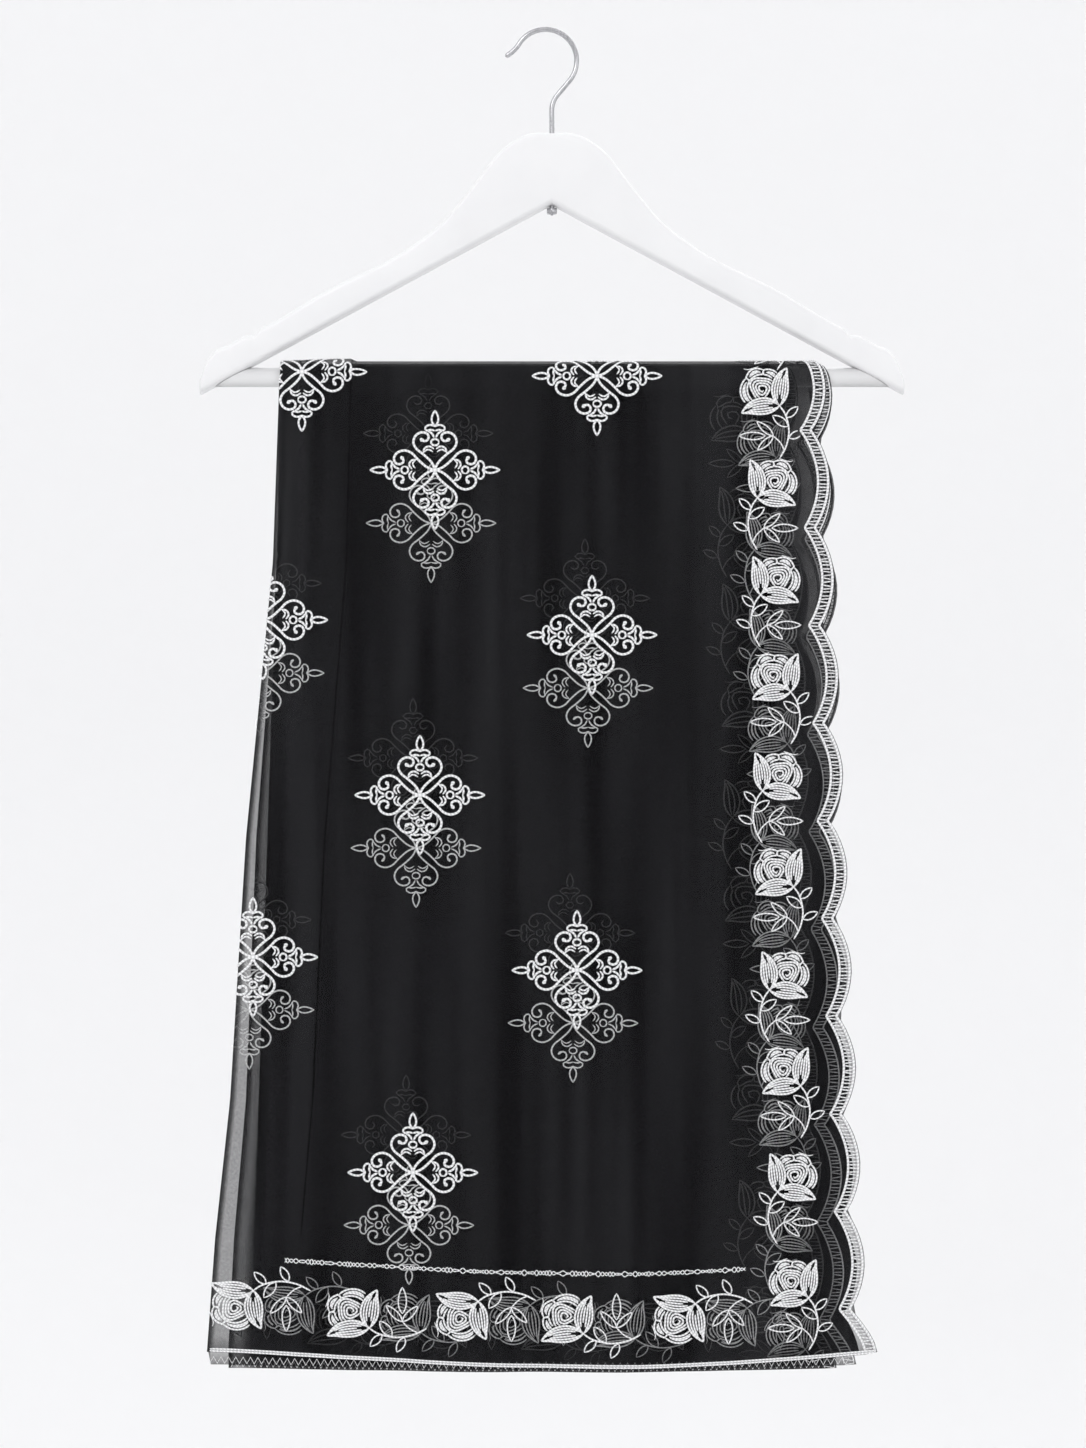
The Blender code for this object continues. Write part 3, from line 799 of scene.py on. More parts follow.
FRONT_ROWS = 104
OVER_ROWS = 18
BACK_ROWS = 100
EVEN_COLUMNS = 58
FOLD_COLUMNS = 7
FOLD_INSET = 0.0013
# The net's columns past the seam line: shares of the edging's width, and distances inside its edge.
EDGE_SHARES = np.array((0.25, 0.5, 0.75, 0.95, 1.0))
EDGE_INSETS = np.array((0.0084, 0.0072, 0.0040, 0.0007, 0.0))
# The crosswise fold's lowest line lies below the last row of the back.
FOOT_RISE = 0.002
# Closeness of the net: 0 is the plain net, and 1 stops CLOSE_COVER more of the light.
DARK_EDGE = 1.3
CLOSE_AT_BAR = 0.6
CLOSE_AT_ROSES = 0.5
CLOSE_AT_LACE = 0.3
CLOSE_AT_INNER_FOLD = 0.2
CLOSE_IN_INNER_RUN = 1.6
HEM_BAND = 0.004
BAR_BAND = 0.006
# Shares of the width from which the net closes up, and over how much of it.
ROSES_FROM, ROSES_OVER = 0.84, 0.06
INNER_FROM, INNER_OVER = 0.022, 0.016
# The pressed crease's denser cover and painted shade show down to this length in front, fade over the next,
# and are fainter behind.
PRESSED_LENGTH, PRESSED_FADE, PRESSED_BEHIND = 0.520, 0.020, 0.6


def cloth_columns():
    """Shares across a layer: fine near the fold and at the pleat's edge."""
    even = np.linspace(0.02, 1.0, EVEN_COLUMNS)
    crease = PLEAT_SHARE + np.array((-0.004, -0.001, 0.003, 0.008, 0.014))
    return np.unique(np.concatenate([even, crease, [0.004, 0.010]]))


def run_rows():
    """Rows down the front, over the bar and down the back: kind and place in the row's own share."""
    front = [("front", f) for f in np.linspace(1, 0, FRONT_ROWS)]
    over = [("over", f) for f in np.linspace(0, 1, OVER_ROWS)[1:-1]]
    back = [("behind", f) for f in np.linspace(0, 1, BACK_ROWS)]
    return front + over + back


def row_lengths(layer, rows, across):
    """s for each row and column: shares of the drop in front and behind, of the arc over the bar."""
    kinds = np.array([kind for kind, _ in rows])[:, None]
    at = np.array([share for _, share in rows])[:, None]
    arc = math.pi * layer.depth
    front = at * hem_drop(layer, across)[None]
    foot = BAR_Z - foot_centre()
    return np.where(kinds == "front", front, np.where(kinds == "over", -arc * at, -arc - at * foot))


def foot_centre():
    """Height of the back's last row, where the crosswise fold begins to turn."""
    return BACK_FOOT_Z + FOOT_RISE


def closeness(layer, s, across):
    """How much denser the net reads: at the hem, over the bar, along the lace and in the inner run.

    Near its own fold the inner run is nearly as sheer as the outer one.
    """
    front, _, fall, _ = stretches(layer, s)
    above = hem_drop(layer, across) - fall
    at_hem = np.where(front, 1 - smoothstep((above - HEM_BAND) / HEM_BAND), 0.0)
    at_bar = CLOSE_AT_BAR * (1 - smoothstep((fall - BAR_BAND) / BAR_BAND))
    at_roses = CLOSE_AT_ROSES * smoothstep((across - ROSES_FROM) / ROSES_OVER)
    at_side = np.where(across > SEAM_SHARE, CLOSE_AT_LACE, at_roses)
    close = np.maximum(np.maximum(at_hem, at_bar), at_side)
    if layer in (L1, L2):
        return close
    past_fold = smoothstep((across - INNER_FROM) / INNER_OVER)
    more = CLOSE_IN_INNER_RUN - CLOSE_AT_INNER_FOLD
    return np.maximum(close, CLOSE_AT_INNER_FOLD + more * past_fold)


def layer_sheet(layer, side):
    """Grid points, flat UV and closeness of one layer, from its fold to its scalloped edge.

    side is 1 for the layer that holds the fold and -1 for the layer behind it, whose columns run
    the other way and whose UV lies on the far side of the fold.
    """
    shares = cloth_columns()
    rows = run_rows()
    across = np.concatenate([shares * SEAM_SHARE, SEAM_SHARE + EDGE_SHARES * (1 - SEAM_SHARE)])
    s = row_lengths(layer, rows, across)
    left = left_edge(layer, s)
    seam = seam_line(layer, s)
    count = len(EDGE_SHARES)
    reach = scallop_reach(layer, s)[:, -count:]
    weights = np.concatenate([shares, np.ones(count)])
    start = left + FOLD_INSET
    x = start + weights * (seam - start)
    past_seam = [(reach[:, 0] - EDGE_INSETS[0]) * 0.5, *(reach[:, 1:] - EDGE_INSETS[1:]).T]
    x[:, -count:] += np.stack(past_seam, axis=-1)
    if side > 0:
        half = FOLD_HALF[layer.name]
        round_x = left[:, :1] + half + WALL_HALF - np.linspace(math.pi, 0.0, FOLD_COLUMNS) * half
        x = np.concatenate([round_x, x], axis=1)
        s = np.concatenate([np.repeat(s[:, :1], FOLD_COLUMNS, axis=1), s], axis=1)
        left = np.concatenate([np.repeat(left[:, :1], FOLD_COLUMNS, axis=1), left], axis=1)
        across = np.concatenate([np.repeat(across[:1], FOLD_COLUMNS), across])
    points = on_cloth(layer, x, s)
    uv = np.stack([side * (x - left) + 0.5, s + 0.7], axis=-1)
    close = closeness(layer, s, across)
    close[:, -2:] = DARK_EDGE
    if side > 0:
        close[:, :FOLD_COLUMNS + 1] = DARK_EDGE
    if side < 0:
        points, uv, close = points[:, ::-1], uv[:, ::-1], close[:, ::-1]
    return points, uv, close


def turned_up(points, uv, partners):
    """The grid with rows added at the back's foot, which turn half round towards the outer run."""
    base = points[-1]
    partner = partners[None, :]
    own = base[None, :, 1]
    centre = (own + partner) / 2
    angle = np.linspace(0, math.pi, 8)[1:, None]
    y = centre + (own - centre) * np.cos(angle)
    z = base[None, :, 2] - np.abs(partner - own) / 2 * np.sin(angle)
    x = np.broadcast_to(base[None, :, 0], y.shape)
    more = np.stack([x, y, z], axis=-1)
    length = np.abs(partner - own) / 2 * angle
    more_uv = np.stack([np.broadcast_to(uv[-1][None, :, 0], y.shape), uv[-1][None, :, 1] - length], axis=-1)
    return np.concatenate([points, more]), np.concatenate([uv, more_uv])


def run_mesh(name, fold_layer, behind_layer, turn_up):
    """One lengthwise run of cloth: the layer behind, the fold, and the layer in front."""
    behind, behind_uv, behind_close = layer_sheet(behind_layer, -1)
    facing, facing_uv, facing_close = layer_sheet(fold_layer, 1)
    points = np.concatenate([behind, facing], axis=1)
    uv = np.concatenate([behind_uv, facing_uv], axis=1)
    if turn_up:
        # How far each column lies behind the fold: 1, then falling round it, then 0.
        round_fold = (1 - np.cos(np.linspace(math.pi, 0, FOLD_COLUMNS))) / 2
        past = np.zeros(points.shape[1])
        past[:behind.shape[1]] = 1.0
        past[behind.shape[1]:behind.shape[1] + FOLD_COLUMNS] = round_fold
        own = fold_layer.depth * (1 - past) + behind_layer.depth * past
        partner = fold_layer.partner * (1 - past) + behind_layer.partner * past
        points, uv = turned_up(points, uv, points[-1, :, 1] + partner - own)
    rows, columns = points.shape[:2]
    mesh = new_mesh(name, points.reshape(-1, 3), grid_quads(rows, columns), uv.reshape(-1, 2))
    close = np.concatenate([behind_close, facing_close], axis=1)
    close = np.pad(close, ((0, rows - len(close)), (0, 0)))
    share = np.full((rows, columns), -1.0)
    # pressed weights the crease line: its denser cover and its painted crease shade.
    pressed = np.zeros((rows, columns))
    if not turn_up:
        edge = len(EDGE_SHARES)
        share[:, -len(cloth_columns()) - edge:-edge] = cloth_columns()
        s = row_lengths(fold_layer, run_rows(), np.array([0.0]))
        faded = smoothstep((s - PRESSED_LENGTH) / PRESSED_FADE)
        pressed += np.where(s > 0, 1 - faded, PRESSED_BEHIND)
    for key, values in (("across", share), ("close", close), ("pressed", pressed)):
        values = np.ascontiguousarray(values, np.float32)
        mesh.attributes.new(key, "FLOAT", "POINT").data.foreach_set("value", values.ravel())
    return mesh


class STOLE_OT_cloth(bpy.types.Operator):
    """Makes the two runs of net, each folded lengthwise and hung over the bar"""

    bl_idname = "stole.cloth"
    bl_label = "Net cloth"

    def execute(self, context):
        look = context.scene.stole_cloth
        net = net_material("grey_net_cloth", look)
        outer = new_piece(
            "outer_run_net", run_mesh("outer_run_net", L1, L2, False), net,
            ["outer_net", "outer_end_border", "under_net", "under_end_border"])
        inner = new_piece(
            "inner_run_net", run_mesh("inner_run_net", L3, L4, True), net,
            ["inner_net", "inner_end_border"])
        return {"FINISHED"}


def embroider(look, name, layer, threads, tone="white_thread", replaced=(), base=NET_TOP):
    """One piece of embroidery on a layer. Only the outer layer's threads have the finer section."""
    mesh = thread_mesh(name, layer, threads, layer is L1, base)
    new_piece(name, mesh, embroidery_material(look, tone), replaced)


# Motifs, in millimetres. A half is drawn and mirrored.

PETAL_SCROLL = ((0, 0), (0.9, 2.7), (3.0, 5.8), (7.6, 10.0), (11.6, 13.2), (13.4, 17.2), (12.0, 21.3),
                (8.5, 23.3), (5.0, 22.6), (3.9, 20.4), (5.0, 18.2), (7.2, 18.0), (8.9, 19.2))
PETAL_BLOB = ((6.9, 18.0), (8.2, 18.6), (9.2, 19.6))
PETAL_BROW = ((7.2, 10.6), (6.8, 12.9), (5.3, 14.3), (3.0, 14.6), (0.6, 13.0))
PETAL_INNER_BROW = ((6.8, 11.0), (5.0, 12.6), (3.0, 12.4), (1.2, 11.2))
PETAL_NECK = ((4.4, 24.2), (1.9, 22.6), (0.5, 20.0))
PETAL_CROWN = ((0.0, 26.8), (2.0, 27.9), (4.5, 27.6), (6.2, 26.0), (5.2, 24.4), (2.6, 24.9), (0.0, 24.3))
PETAL_LEAF = ((0.0, 27.4), (1.6, 29.2), (2.1, 31.6), (1.5, 34.2), (0.0, 37.0))
LONG_PETAL = (0.90, 1.09)

SEPAL_SIDES = (
    ((0, 0), (4.5, 0.2), (9.2, 2.2), (13.6, 6.2), (16.6, 10.0), (20.0, 13.4)),
    ((0, 0), (0.5, 5.0), (3.2, 9.8), (7.8, 13.0), (12.4, 14.3), (15.8, 14.1), (20.0, 13.4)),
)
SEPAL_MIDDLE = (8.9, 7.6)
SEPAL_WIDTH = 9.4
SEPAL_POINTS = 11
BUD_MIDDLE = (-0.4, 14.9)
BUD_CORNERS = 0.11
BUD_REACH = 7.4
BUD_LENGTH = 1.08
# The bud's spiral starts at this angle and goes inwards by this much.
BUD_START, BUD_TURNED = -40, 6.3
# The outer petals: first and last angles about the bud's middle, inner and outer radius, and bow.
OUTER_PETALS = ((102, 204), (42, 100), (-24, 40))
PETAL_NEAR, PETAL_FAR, PETAL_BOW = 9.2, 12.0, 1.6
PETAL_DEPTH = 3.0
# Bud and petals keep clear of the sepals, grown by this.
SEPAL_CLEAR = 1.09
TENDRIL = ((8.0, 26.5), (4.4, 28.2), (1.8, 29.8), (0.6, 31.8))
ROSE_BASE = (10.2, 8.5)
VINE_STEM = ((10.2, 8.5), (13.5, 13.2), (15.5, 19.5), (16.0, 26.0), (14.2, 34.0), (10.4, 41.0))
VINE_LEAVES = (((14.4, 15.8), (21.7, 9.1)), ((15.5, 21.4), (5.9, 14.6)), ((16.2, 28.6), (25.2, 24.2)))
SPRAY_STEM = ((13.4, 37.0), (11.0, 31.8), (6.4, 27.3))
SPRAY_LEAVES = (((1.5, 27.3), (-15.0, 27.3)), ((6.4, 27.3), (-3.9, 18.2)), ((6.4, 27.3), (-3.5, 36.2)))


def mirrored(points):
    """The points turned over about the motif's axis."""
    return np.asarray(points, float) * (-1.0, 1.0)


def leaf_outline(base, tip, fullness=0.2):
    """An open leaf: two sides whose distance from its spine is a flattened sine."""
    base, tip = np.array(base, float), np.array(tip, float)
    along = tip - base
    side = np.array((-along[1], along[0])) * fullness
    t = np.linspace(0, 1, 7)[:, None]
    bow = np.sin(math.pi * t**0.9) ** 0.8
    return [base + along * t + side * bow, base + along * t - side * bow]


def quatrefoil():
    """Lines of one field motif: (points, share of the line width)."""
    lines = []
    petal = [(PETAL_SCROLL, 1.0), (PETAL_BLOB, 1.7), (PETAL_BROW, 0.8), (PETAL_INNER_BROW, 0.7),
             (PETAL_NECK, 0.9), (PETAL_CROWN, 0.85), (PETAL_LEAF, 0.85)]
    turn = np.linspace(0, 2 * math.pi, 13)
    ring = np.stack([2.5 * np.cos(turn), 17.2 + 2.0 * np.sin(turn)], axis=-1)
    for quarter in range(4):
        scale = np.array(LONG_PETAL if quarter % 2 else (1.0, 1.0))
        angle = math.pi / 2 * quarter
        c, s = math.cos(angle), math.sin(angle)
        turned = np.array(((c, s), (-s, c)))
        for points, share in petal:
            for half in (np.asarray(points, float), mirrored(points)):
                lines.append((half * scale @ turned, share))
        lines.append((ring * scale @ turned, 0.85))
    return lines


def round_bud(radius, degrees):
    """Points at a radius about the bud's middle, 0 degrees to the right and 90 along the axis."""
    turn = np.radians(degrees)
    return np.stack([radius * np.cos(turn), radius * np.sin(turn)], axis=-1) + BUD_MIDDLE


def outside_polygon(points, polygon):
    """Mask of the points outside a closed polygon: an even count of edges lies to their right."""
    first, last = polygon, np.roll(polygon, -1, axis=0)
    x, y = points[:, :1], points[:, 1:]
    spans = (first[:, 1] > y) != (last[:, 1] > y)
    rise = np.where(last[:, 1] == first[:, 1], 1e-9, last[:, 1] - first[:, 1])
    crossing = first[:, 0] + (y - first[:, 1]) * (last[:, 0] - first[:, 0]) / rise
    return (spans & (x < crossing)).sum(axis=1) % 2 == 0


def kept_runs(path, keep):
    """The stretches of a path whose points are kept, of three points or more."""
    edges = np.flatnonzero(np.diff(np.concatenate([[0], keep.astype(int), [0]])))
    return [path[a:b] for a, b in zip(edges[::2], edges[1::2]) if b - a > 2]


def rose(pitch):
    """Lines of one rose in its own frame, base at the origin, as (points, share of width, lift).

    The bud is one spiral. Each outer petal is nested loops between two arcs, the outer one bowed by
    a sine. Each sepal is rows evenly spaced between its two sides, shorter towards its middle. Bud
    and petals stop where the sepals cover them.
    """
    cup = []
    turns = np.arange(BUD_START, 360 * BUD_TURNED / pitch, 12.0)
    uneven = 1 + BUD_CORNERS * np.cos(np.radians(3 * turns + 60))
    spiral = round_bud((BUD_REACH - pitch * np.maximum(turns, 0) / 360) * uneven, turns)
    cup.append((BUD_MIDDLE + (spiral - BUD_MIDDLE) * (1.0, BUD_LENGTH), 1.0))
    for first, last in OUTER_PETALS:
        for k in range(max(1, round(PETAL_DEPTH / pitch))):
            inward = math.degrees(pitch * k / 11)
            around = np.linspace(first + inward, last - inward, 12)
            bow = PETAL_FAR + PETAL_BOW * np.sin(np.linspace(0, math.pi, 12)) - pitch * k
            near = round_bud(PETAL_NEAR + pitch * k, around[::-1])
            loop = np.concatenate([round_bud(bow, around), near])
            cup.append((np.concatenate([loop, loop[:1]]), 0.95))
    leaf = np.concatenate([curve_through(SEPAL_SIDES[0], 0.8), curve_through(SEPAL_SIDES[1], 0.8)[::-1]])
    leaf = SEPAL_MIDDLE + (leaf - SEPAL_MIDDLE) * SEPAL_CLEAR
    lines = [(np.array(TENDRIL), 0.5, 0.0)]
    for points, share in cup:
        dense = curve_through(points, 0.5)
        clear = outside_polygon(dense, leaf) & outside_polygon(dense * (-1, 1), leaf)
        lines += [(run[::3], share, 0.0) for run in kept_runs(dense, clear) if len(run) > 8]
    low, high = (resampled(side, SEPAL_POINTS) for side in SEPAL_SIDES)
    rows = round(SEPAL_WIDTH / pitch)
    for mirror in (1, -1):
        for k in range(rows + 1):
            deep = min(k, rows - k)
            points = (low + (high - low) * k / rows)[deep:SEPAL_POINTS - deep]
            if len(points) > 2:
                lines.append((points * (mirror, 1), 0.95 if deep else 1.1, 0.0001))
    return lines


def border_unit(pitch):
    """A rose with its vine: (points, share of width, extra lift) in side and forward lengths."""
    lines = []
    c = math.sqrt(0.5)
    for points, share, lift in rose(pitch):
        across, along = points[:, 0], points[:, 1]
        side = ROSE_BASE[0] - c * along + c * across
        forward = ROSE_BASE[1] - c * along - c * across
        lines.append((np.stack([side, forward], axis=-1), share, lift))
    lines.append((np.array(VINE_STEM), 0.9, 0.0))
    lines.append((np.array(SPRAY_STEM), 0.75, 0.0))
    for base, tip in VINE_LEAVES:
        lines += [(half, 0.75, 0.0) for half in leaf_outline(base, tip, 0.21)]
    for base, tip in SPRAY_LEAVES:
        lines += [(half, 0.75, 0.0) for half in leaf_outline(base, tip, 0.14)]
    return lines


# Places of the motifs in front, in millimetres from the mount: to the right and down. The
# roses' third column says which way each one faces.
FIELD_FRONT = (
    (-68.51, 273.978), (28.83, 376.278), (-77.81, 475.478), (19.53, 583.978), (-82.15, 709.218),
    (-175.15, 366.978), (-181.35, 575.918), (31.93, 215.698), (-150.97, 213.218),
)
FIELD_SHIFT = {"under": (-2.48, 32.86), "inner": (-4.34, -22.94)}
RIGHT_ROSES = (
    (134.85, 225.618, 1), (141.67, 282.658, -1), (143.53, 342.798, -1), (141.67, 402.938, 1),
    (144.77, 464.318, -1), (143.53, 523.838, 1), (149.11, 587.698, -1), (147.87, 647.218, 1),
    (154.07, 712.938, -1), (152.83, 778.658, 1),
)
FOOT_ROSES = (
    (-190.65, 792.918, -1), (-118.73, 795.398, 1), (-51.15, 799.118, -1), (13.95, 799.118, 1),
    (83.39, 800.978, -1),
)
FOOT_STRETCH = 1.10
# How far the hidden layers' motifs lie from the outer layer's, in millimetres.
RIGHT_SHIFT = {"outer": (0, 0), "under": (-1.86, 32.24), "inner": (-18.6, 16.74)}
FOOT_SHIFT = {"outer": (0, 0), "under": (32.24, 3.1), "inner": (-12.4, 5.58)}
CHAIN_ENDS = (-161.51, 124.31)
# Motifs of the back: column, and fall below the bar in metres.
BACK_FIELD = ((1, 0.119), (1, 0.329), (1, 0.539), (0, 0.176), (0, 0.386), (2, 0.176), (2, 0.386))
FIELD_COLUMN = 0.102
BACK_ROSE_FIRST = 0.013
BACK_ROSES = 10
ROSE_INSET = 0.022


def in_front(x, down, shift):
    """x and s, in metres, of a place in front with its layer's shift, both in millimetres."""
    return (x + shift[0]) * MM, (down + shift[1]) * MM + BAR_Z


def line_threads(lines, centre, width, height, step):
    """Field lines placed about a centre; up in the motif is up the cloth."""
    threads = []
    for points, share in lines:
        path = curve_through(points, step / MM) * MM * (1.0, -1.0) + np.array(centre)
        threads.append((path, width * share, height, 0.0))
    return threads


def unit_threads(lines, centre, side, stretch, turned, width, height, step):
    """Border lines placed about a rose's centre.

    side mirrors the unit across its chain. turned lays the chain along x instead of along s.
    """
    threads = []
    for points, share, lift in lines:
        path = curve_through(points, step / MM) * MM * (side, stretch)
        path = path[:, ::-1] if turned else path
        threads.append((path + np.array(centre), width * share, height, lift))
    return threads


# Distances that embroidery keeps from the hem, the foot and the scalloped edge. It may pass the fold
# by the last one.
HEM_CLEAR, FOOT_CLEAR, EDGE_CLEAR, FOLD_CLEAR = 0.0012, 0.002, 0.009, 0.001


def within(layer, threads):
    """The threads cut where they leave the cloth at the hem, the foot or the scalloped edge."""
    kept = []
    for path, width, height, lift in threads:
        x, s = path[:, 0], path[:, 1]
        left = left_edge(layer, s)
        seam = seam_line(layer, s)
        hem = hem_drop(layer, np.clip((x - left) / (seam - left), 0, 1.09) * SEAM_SHARE)
        foot = -math.pi * layer.depth - (BAR_Z - foot_centre())
        edge = seam + scallop_reach(layer, s)
        inside = (s < hem - HEM_CLEAR) & (s > foot + FOOT_CLEAR) & (x < edge - EDGE_CLEAR)
        inside &= x > left - FOLD_CLEAR
        kept += [(run, width, height, lift) for run in kept_runs(path, inside)]
    return kept


def field_threads(layer, look, step, thin, back):
    """The field motifs of a layer. thin is the share of the full line width."""
    lines = quatrefoil()
    threads = []
    shift = FIELD_SHIFT.get(layer.name, (0, 0))
    width = look.line_width * thin
    for x, down in FIELD_FRONT[:-2] if layer is L2 else FIELD_FRONT:
        centre = in_front(x, down, shift)
        threads += line_threads(lines, centre, width, look.thread_height, step)
    if back:
        for column, fall in BACK_FIELD:
            s = -math.pi * layer.depth - fall - shift[1] * MM * 0.5
            x = float(left_edge(L1, np.array(s))) + column * FIELD_COLUMN
            threads += line_threads(lines, (x, s), width, look.thread_height, step)
    return within(layer, threads)


def border_threads(layer, look, step, pitch, front, back):
    """The roses of a layer's long edge and end. pitch, in millimetres, is from row to row."""
    lines = border_unit(pitch)
    threads = []
    width, height = look.row_width * (1.0 if layer is L1 else 0.72), look.thread_height
    right, foot = RIGHT_SHIFT[layer.name], FOOT_SHIFT[layer.name]
    if front:
        for x, down, side in RIGHT_ROSES:
            centre = in_front(x, down, right)
            threads += unit_threads(lines, centre, side, 1.0, False, width, height, step)
        for x, down, side in FOOT_ROSES:
            centre = in_front(x, down, foot)
            threads += unit_threads(lines, centre, side, FOOT_STRETCH, True, width, height, step)
    if back:
        for i in range(BACK_ROSES):
            s = -math.pi * layer.depth - BACK_ROSE_FIRST - PITCH * i - right[1] * MM * 0.5
            x = float(seam_line(L1, np.array(s))) - ROSE_INSET + right[0] * MM
            side = (1, -1, 1, -1, -1)[i % 5]
            threads += unit_threads(lines, (x, s), side, 1.0, False, width, height, step)
    return within(layer, threads)


class STOLE_OT_field_motifs(bpy.types.Operator):
    """Embroiders the scroll motifs of the field on each layer that shows"""

    bl_idname = "stole.field_motifs"
    bl_label = "Field motifs"

    def execute(self, context):
        look = context.scene.stole_embroidery
        for layer, step, thin, thread in (
                (L1, 0.0013, 1.0, "white_thread"), (L2, 0.0016, 0.66, "covered_thread_painted_glow"),
                (L3, 0.0024, 0.5, "deep_shaded_thread")):
            name = layer.name + "_field_motifs"
            embroider(look, name, layer, field_threads(layer, look, step, thin, layer is not L3), thread)
        return {"FINISHED"}


class STOLE_OT_border_roses(bpy.types.Operator):
    """Embroiders the roses, vines and sprays along the edges and the ends"""

    bl_idname = "stole.border_roses"
    bl_label = "Border roses"

    def execute(self, context):
        look = context.scene.stole_embroidery
        plans = (
            ("outer_front_roses", L1, 0.0013, 1.62, "white_thread", True, False),
            ("outer_back_roses", L1, 0.0019, 1.62, "white_thread", False, True),
            ("under_roses", L2, 0.0020, 2.0, "faintly_shaded_thread", True, True),
            ("inner_roses", L3, 0.0030, 3.6, "deep_shaded_thread", True, False),
        )
        for name, layer, step, pitch, thread, front, back in plans:
            embroider(look, name, layer, border_threads(layer, look, step, pitch, front, back), thread)
        return {"FINISHED"}


# Scalloped lace


BAND_WIDTH = 0.0076
CORD_WIDTH = 0.0016
LADDER_STEP = 0.0021
RUNG_WIDTH = 0.00185
HIDDEN_RUNG_WIDTH = 0.00140
LACE_LIFT = 0.0003


def edge_lengths(layer, step):
    """s along the edge, from the hem at the corner to the back's foot."""
    top = float(hem_drop(layer, np.array(1.0))) - 0.0006
    foot = -math.pi * layer.depth - (BAR_Z - foot_centre())
    return np.arange(top, foot, -step)


def band_line(layer, s, inset):
    """A line that follows the scalloped edge at a distance inside it."""
    return np.stack([seam_line(layer, s) + scallop_reach(layer, s) - inset, s], axis=-1)


def lace_threads(layer, look, step):
    """Two cords along the edge and uneven rungs between them; hidden layers' are finer.

    Sines of the place along the edge move, lean and widen the rungs.
    """
    s = edge_lengths(layer, step)
    height = look.thread_height + LACE_LIFT
    cord = CORD_WIDTH if layer is L1 else CORD_WIDTH * 0.6
    rung = RUNG_WIDTH if layer is L1 else HIDDEN_RUNG_WIDTH
    threads = [
        (evened(band_line(layer, s, CORD_WIDTH * 0.85), step), cord, height * 1.15, 0.0),
        (evened(band_line(layer, s, BAND_WIDTH), step), cord * 0.95, height * 1.1, 0.0),
    ]
    rungs = edge_lengths(layer, LADDER_STEP)
    rungs = rungs + 0.0002 * np.sin(rungs * 1900) + 0.0001 * np.sin(rungs * 730 + 1)
    lean = 0.0005 * np.sin(rungs * 1310)
    outside = band_line(layer, rungs + lean, CORD_WIDTH * 0.8)
    inside = band_line(layer, rungs - lean, BAND_WIDTH - CORD_WIDTH * 0.3)
    widths = rung * (1 + 0.12 * np.sin(rungs * 2470))
    threads += [
        (np.stack(ends), width, height * 0.9, 0.0) for *ends, width in zip(outside, inside, widths)]
    return threads


class STOLE_OT_scallop_lace(bpy.types.Operator):
    """Makes the scalloped lace along the open edges of each layer"""

    bl_idname = "stole.scallop_lace"
    bl_label = "Scalloped lace"

    def execute(self, context):
        look = context.scene.stole_embroidery
        for layer, step in ((L1, 0.0014), (L2, 0.0020), (L3, 0.0026)):
            name = layer.name + "_scallop_lace"
            threads = lace_threads(layer, look, step)
            embroider(look, name, layer, threads, replaced=[layer.name + "_scallop_edging"], base=0.0)
        return {"FINISHED"}


# Hems and the chain line


HEM_LINE_START = 0.006
HEM_RISE = 0.0008
HEM_STEP = 0.0016
HEM_CORD = 0.0010
HEM_ZIGZAG = 0.0008
DROP_WIDTH = 0.38
# The chain line's waves: length of a link, half its width, and the thread's width.
CHAIN_LINK = 0.0060
CHAIN_HALF = 0.0011
CHAIN_THREAD = 0.00068


def across_line(layer, first, last, step, rise):
    """A line across the front at a height above the hem."""
    share = np.arange(first, last, step / DROP_WIDTH)
    s = hem_drop(layer, share * SEAM_SHARE) - rise
    left = left_edge(layer, s)
    return np.stack([left + share * (seam_line(layer, s) - left), s], axis=-1)


def hem_threads(layer, look, gap, pitch):
    """A zigzag along the hem, between two cords on the outer layer; the hidden layers' is wider."""
    last = 1.0 + scallop_reach(layer, np.array(0.6)) / 0.39
    rises = (HEM_RISE, HEM_RISE + gap)
    low, high = (across_line(layer, HEM_LINE_START, last, pitch, rise) for rise in rises)
    zigzag = np.stack([low, high + np.array((pitch / 2, 0.0))], axis=1).reshape(-1, 2)
    threads = [(zigzag, HEM_ZIGZAG, look.thread_height * 0.6, 0.0)]
    if layer is L1:
        cords = (across_line(layer, HEM_LINE_START, last, HEM_STEP, rise) for rise in rises)
        threads += [(cord, HEM_CORD, look.thread_height * 0.9, 0.0001) for cord in cords]
    return threads


def chain_threads(look):
    """Two waves that cross each other, which is how the line of chain stitch looks."""
    first, last = np.array(CHAIN_ENDS) * MM
    x = np.arange(first, last, 0.0006)
    threads = []
    for phase in (0.0, math.pi):
        share = (x - FRONT_LEFT[1, 1]) / (SEAM_TOP_X + FRONT_SEAM_SPREAD * 0.9 - FRONT_LEFT[1, 1])
        s = hem_drop(L1, share * SEAM_SHARE) - BORDER_HEIGHT
        wander = 1.7 * np.sin(x * 310) + 1.3 * np.sin(x * 173 + 1.1)
        loop = CHAIN_HALF * (1 + 0.35 * np.sin(x * 811 + 2 * phase))
        s = s + loop * np.sin(2 * math.pi * (x - first) / CHAIN_LINK + phase + wander)
        s = s + 0.0003 * np.sin(x * 1570 + phase)
        lift = 0.0002 if phase else 0.0
        threads.append((np.stack([x, s], axis=-1), CHAIN_THREAD, look.thread_height, lift))
    return threads


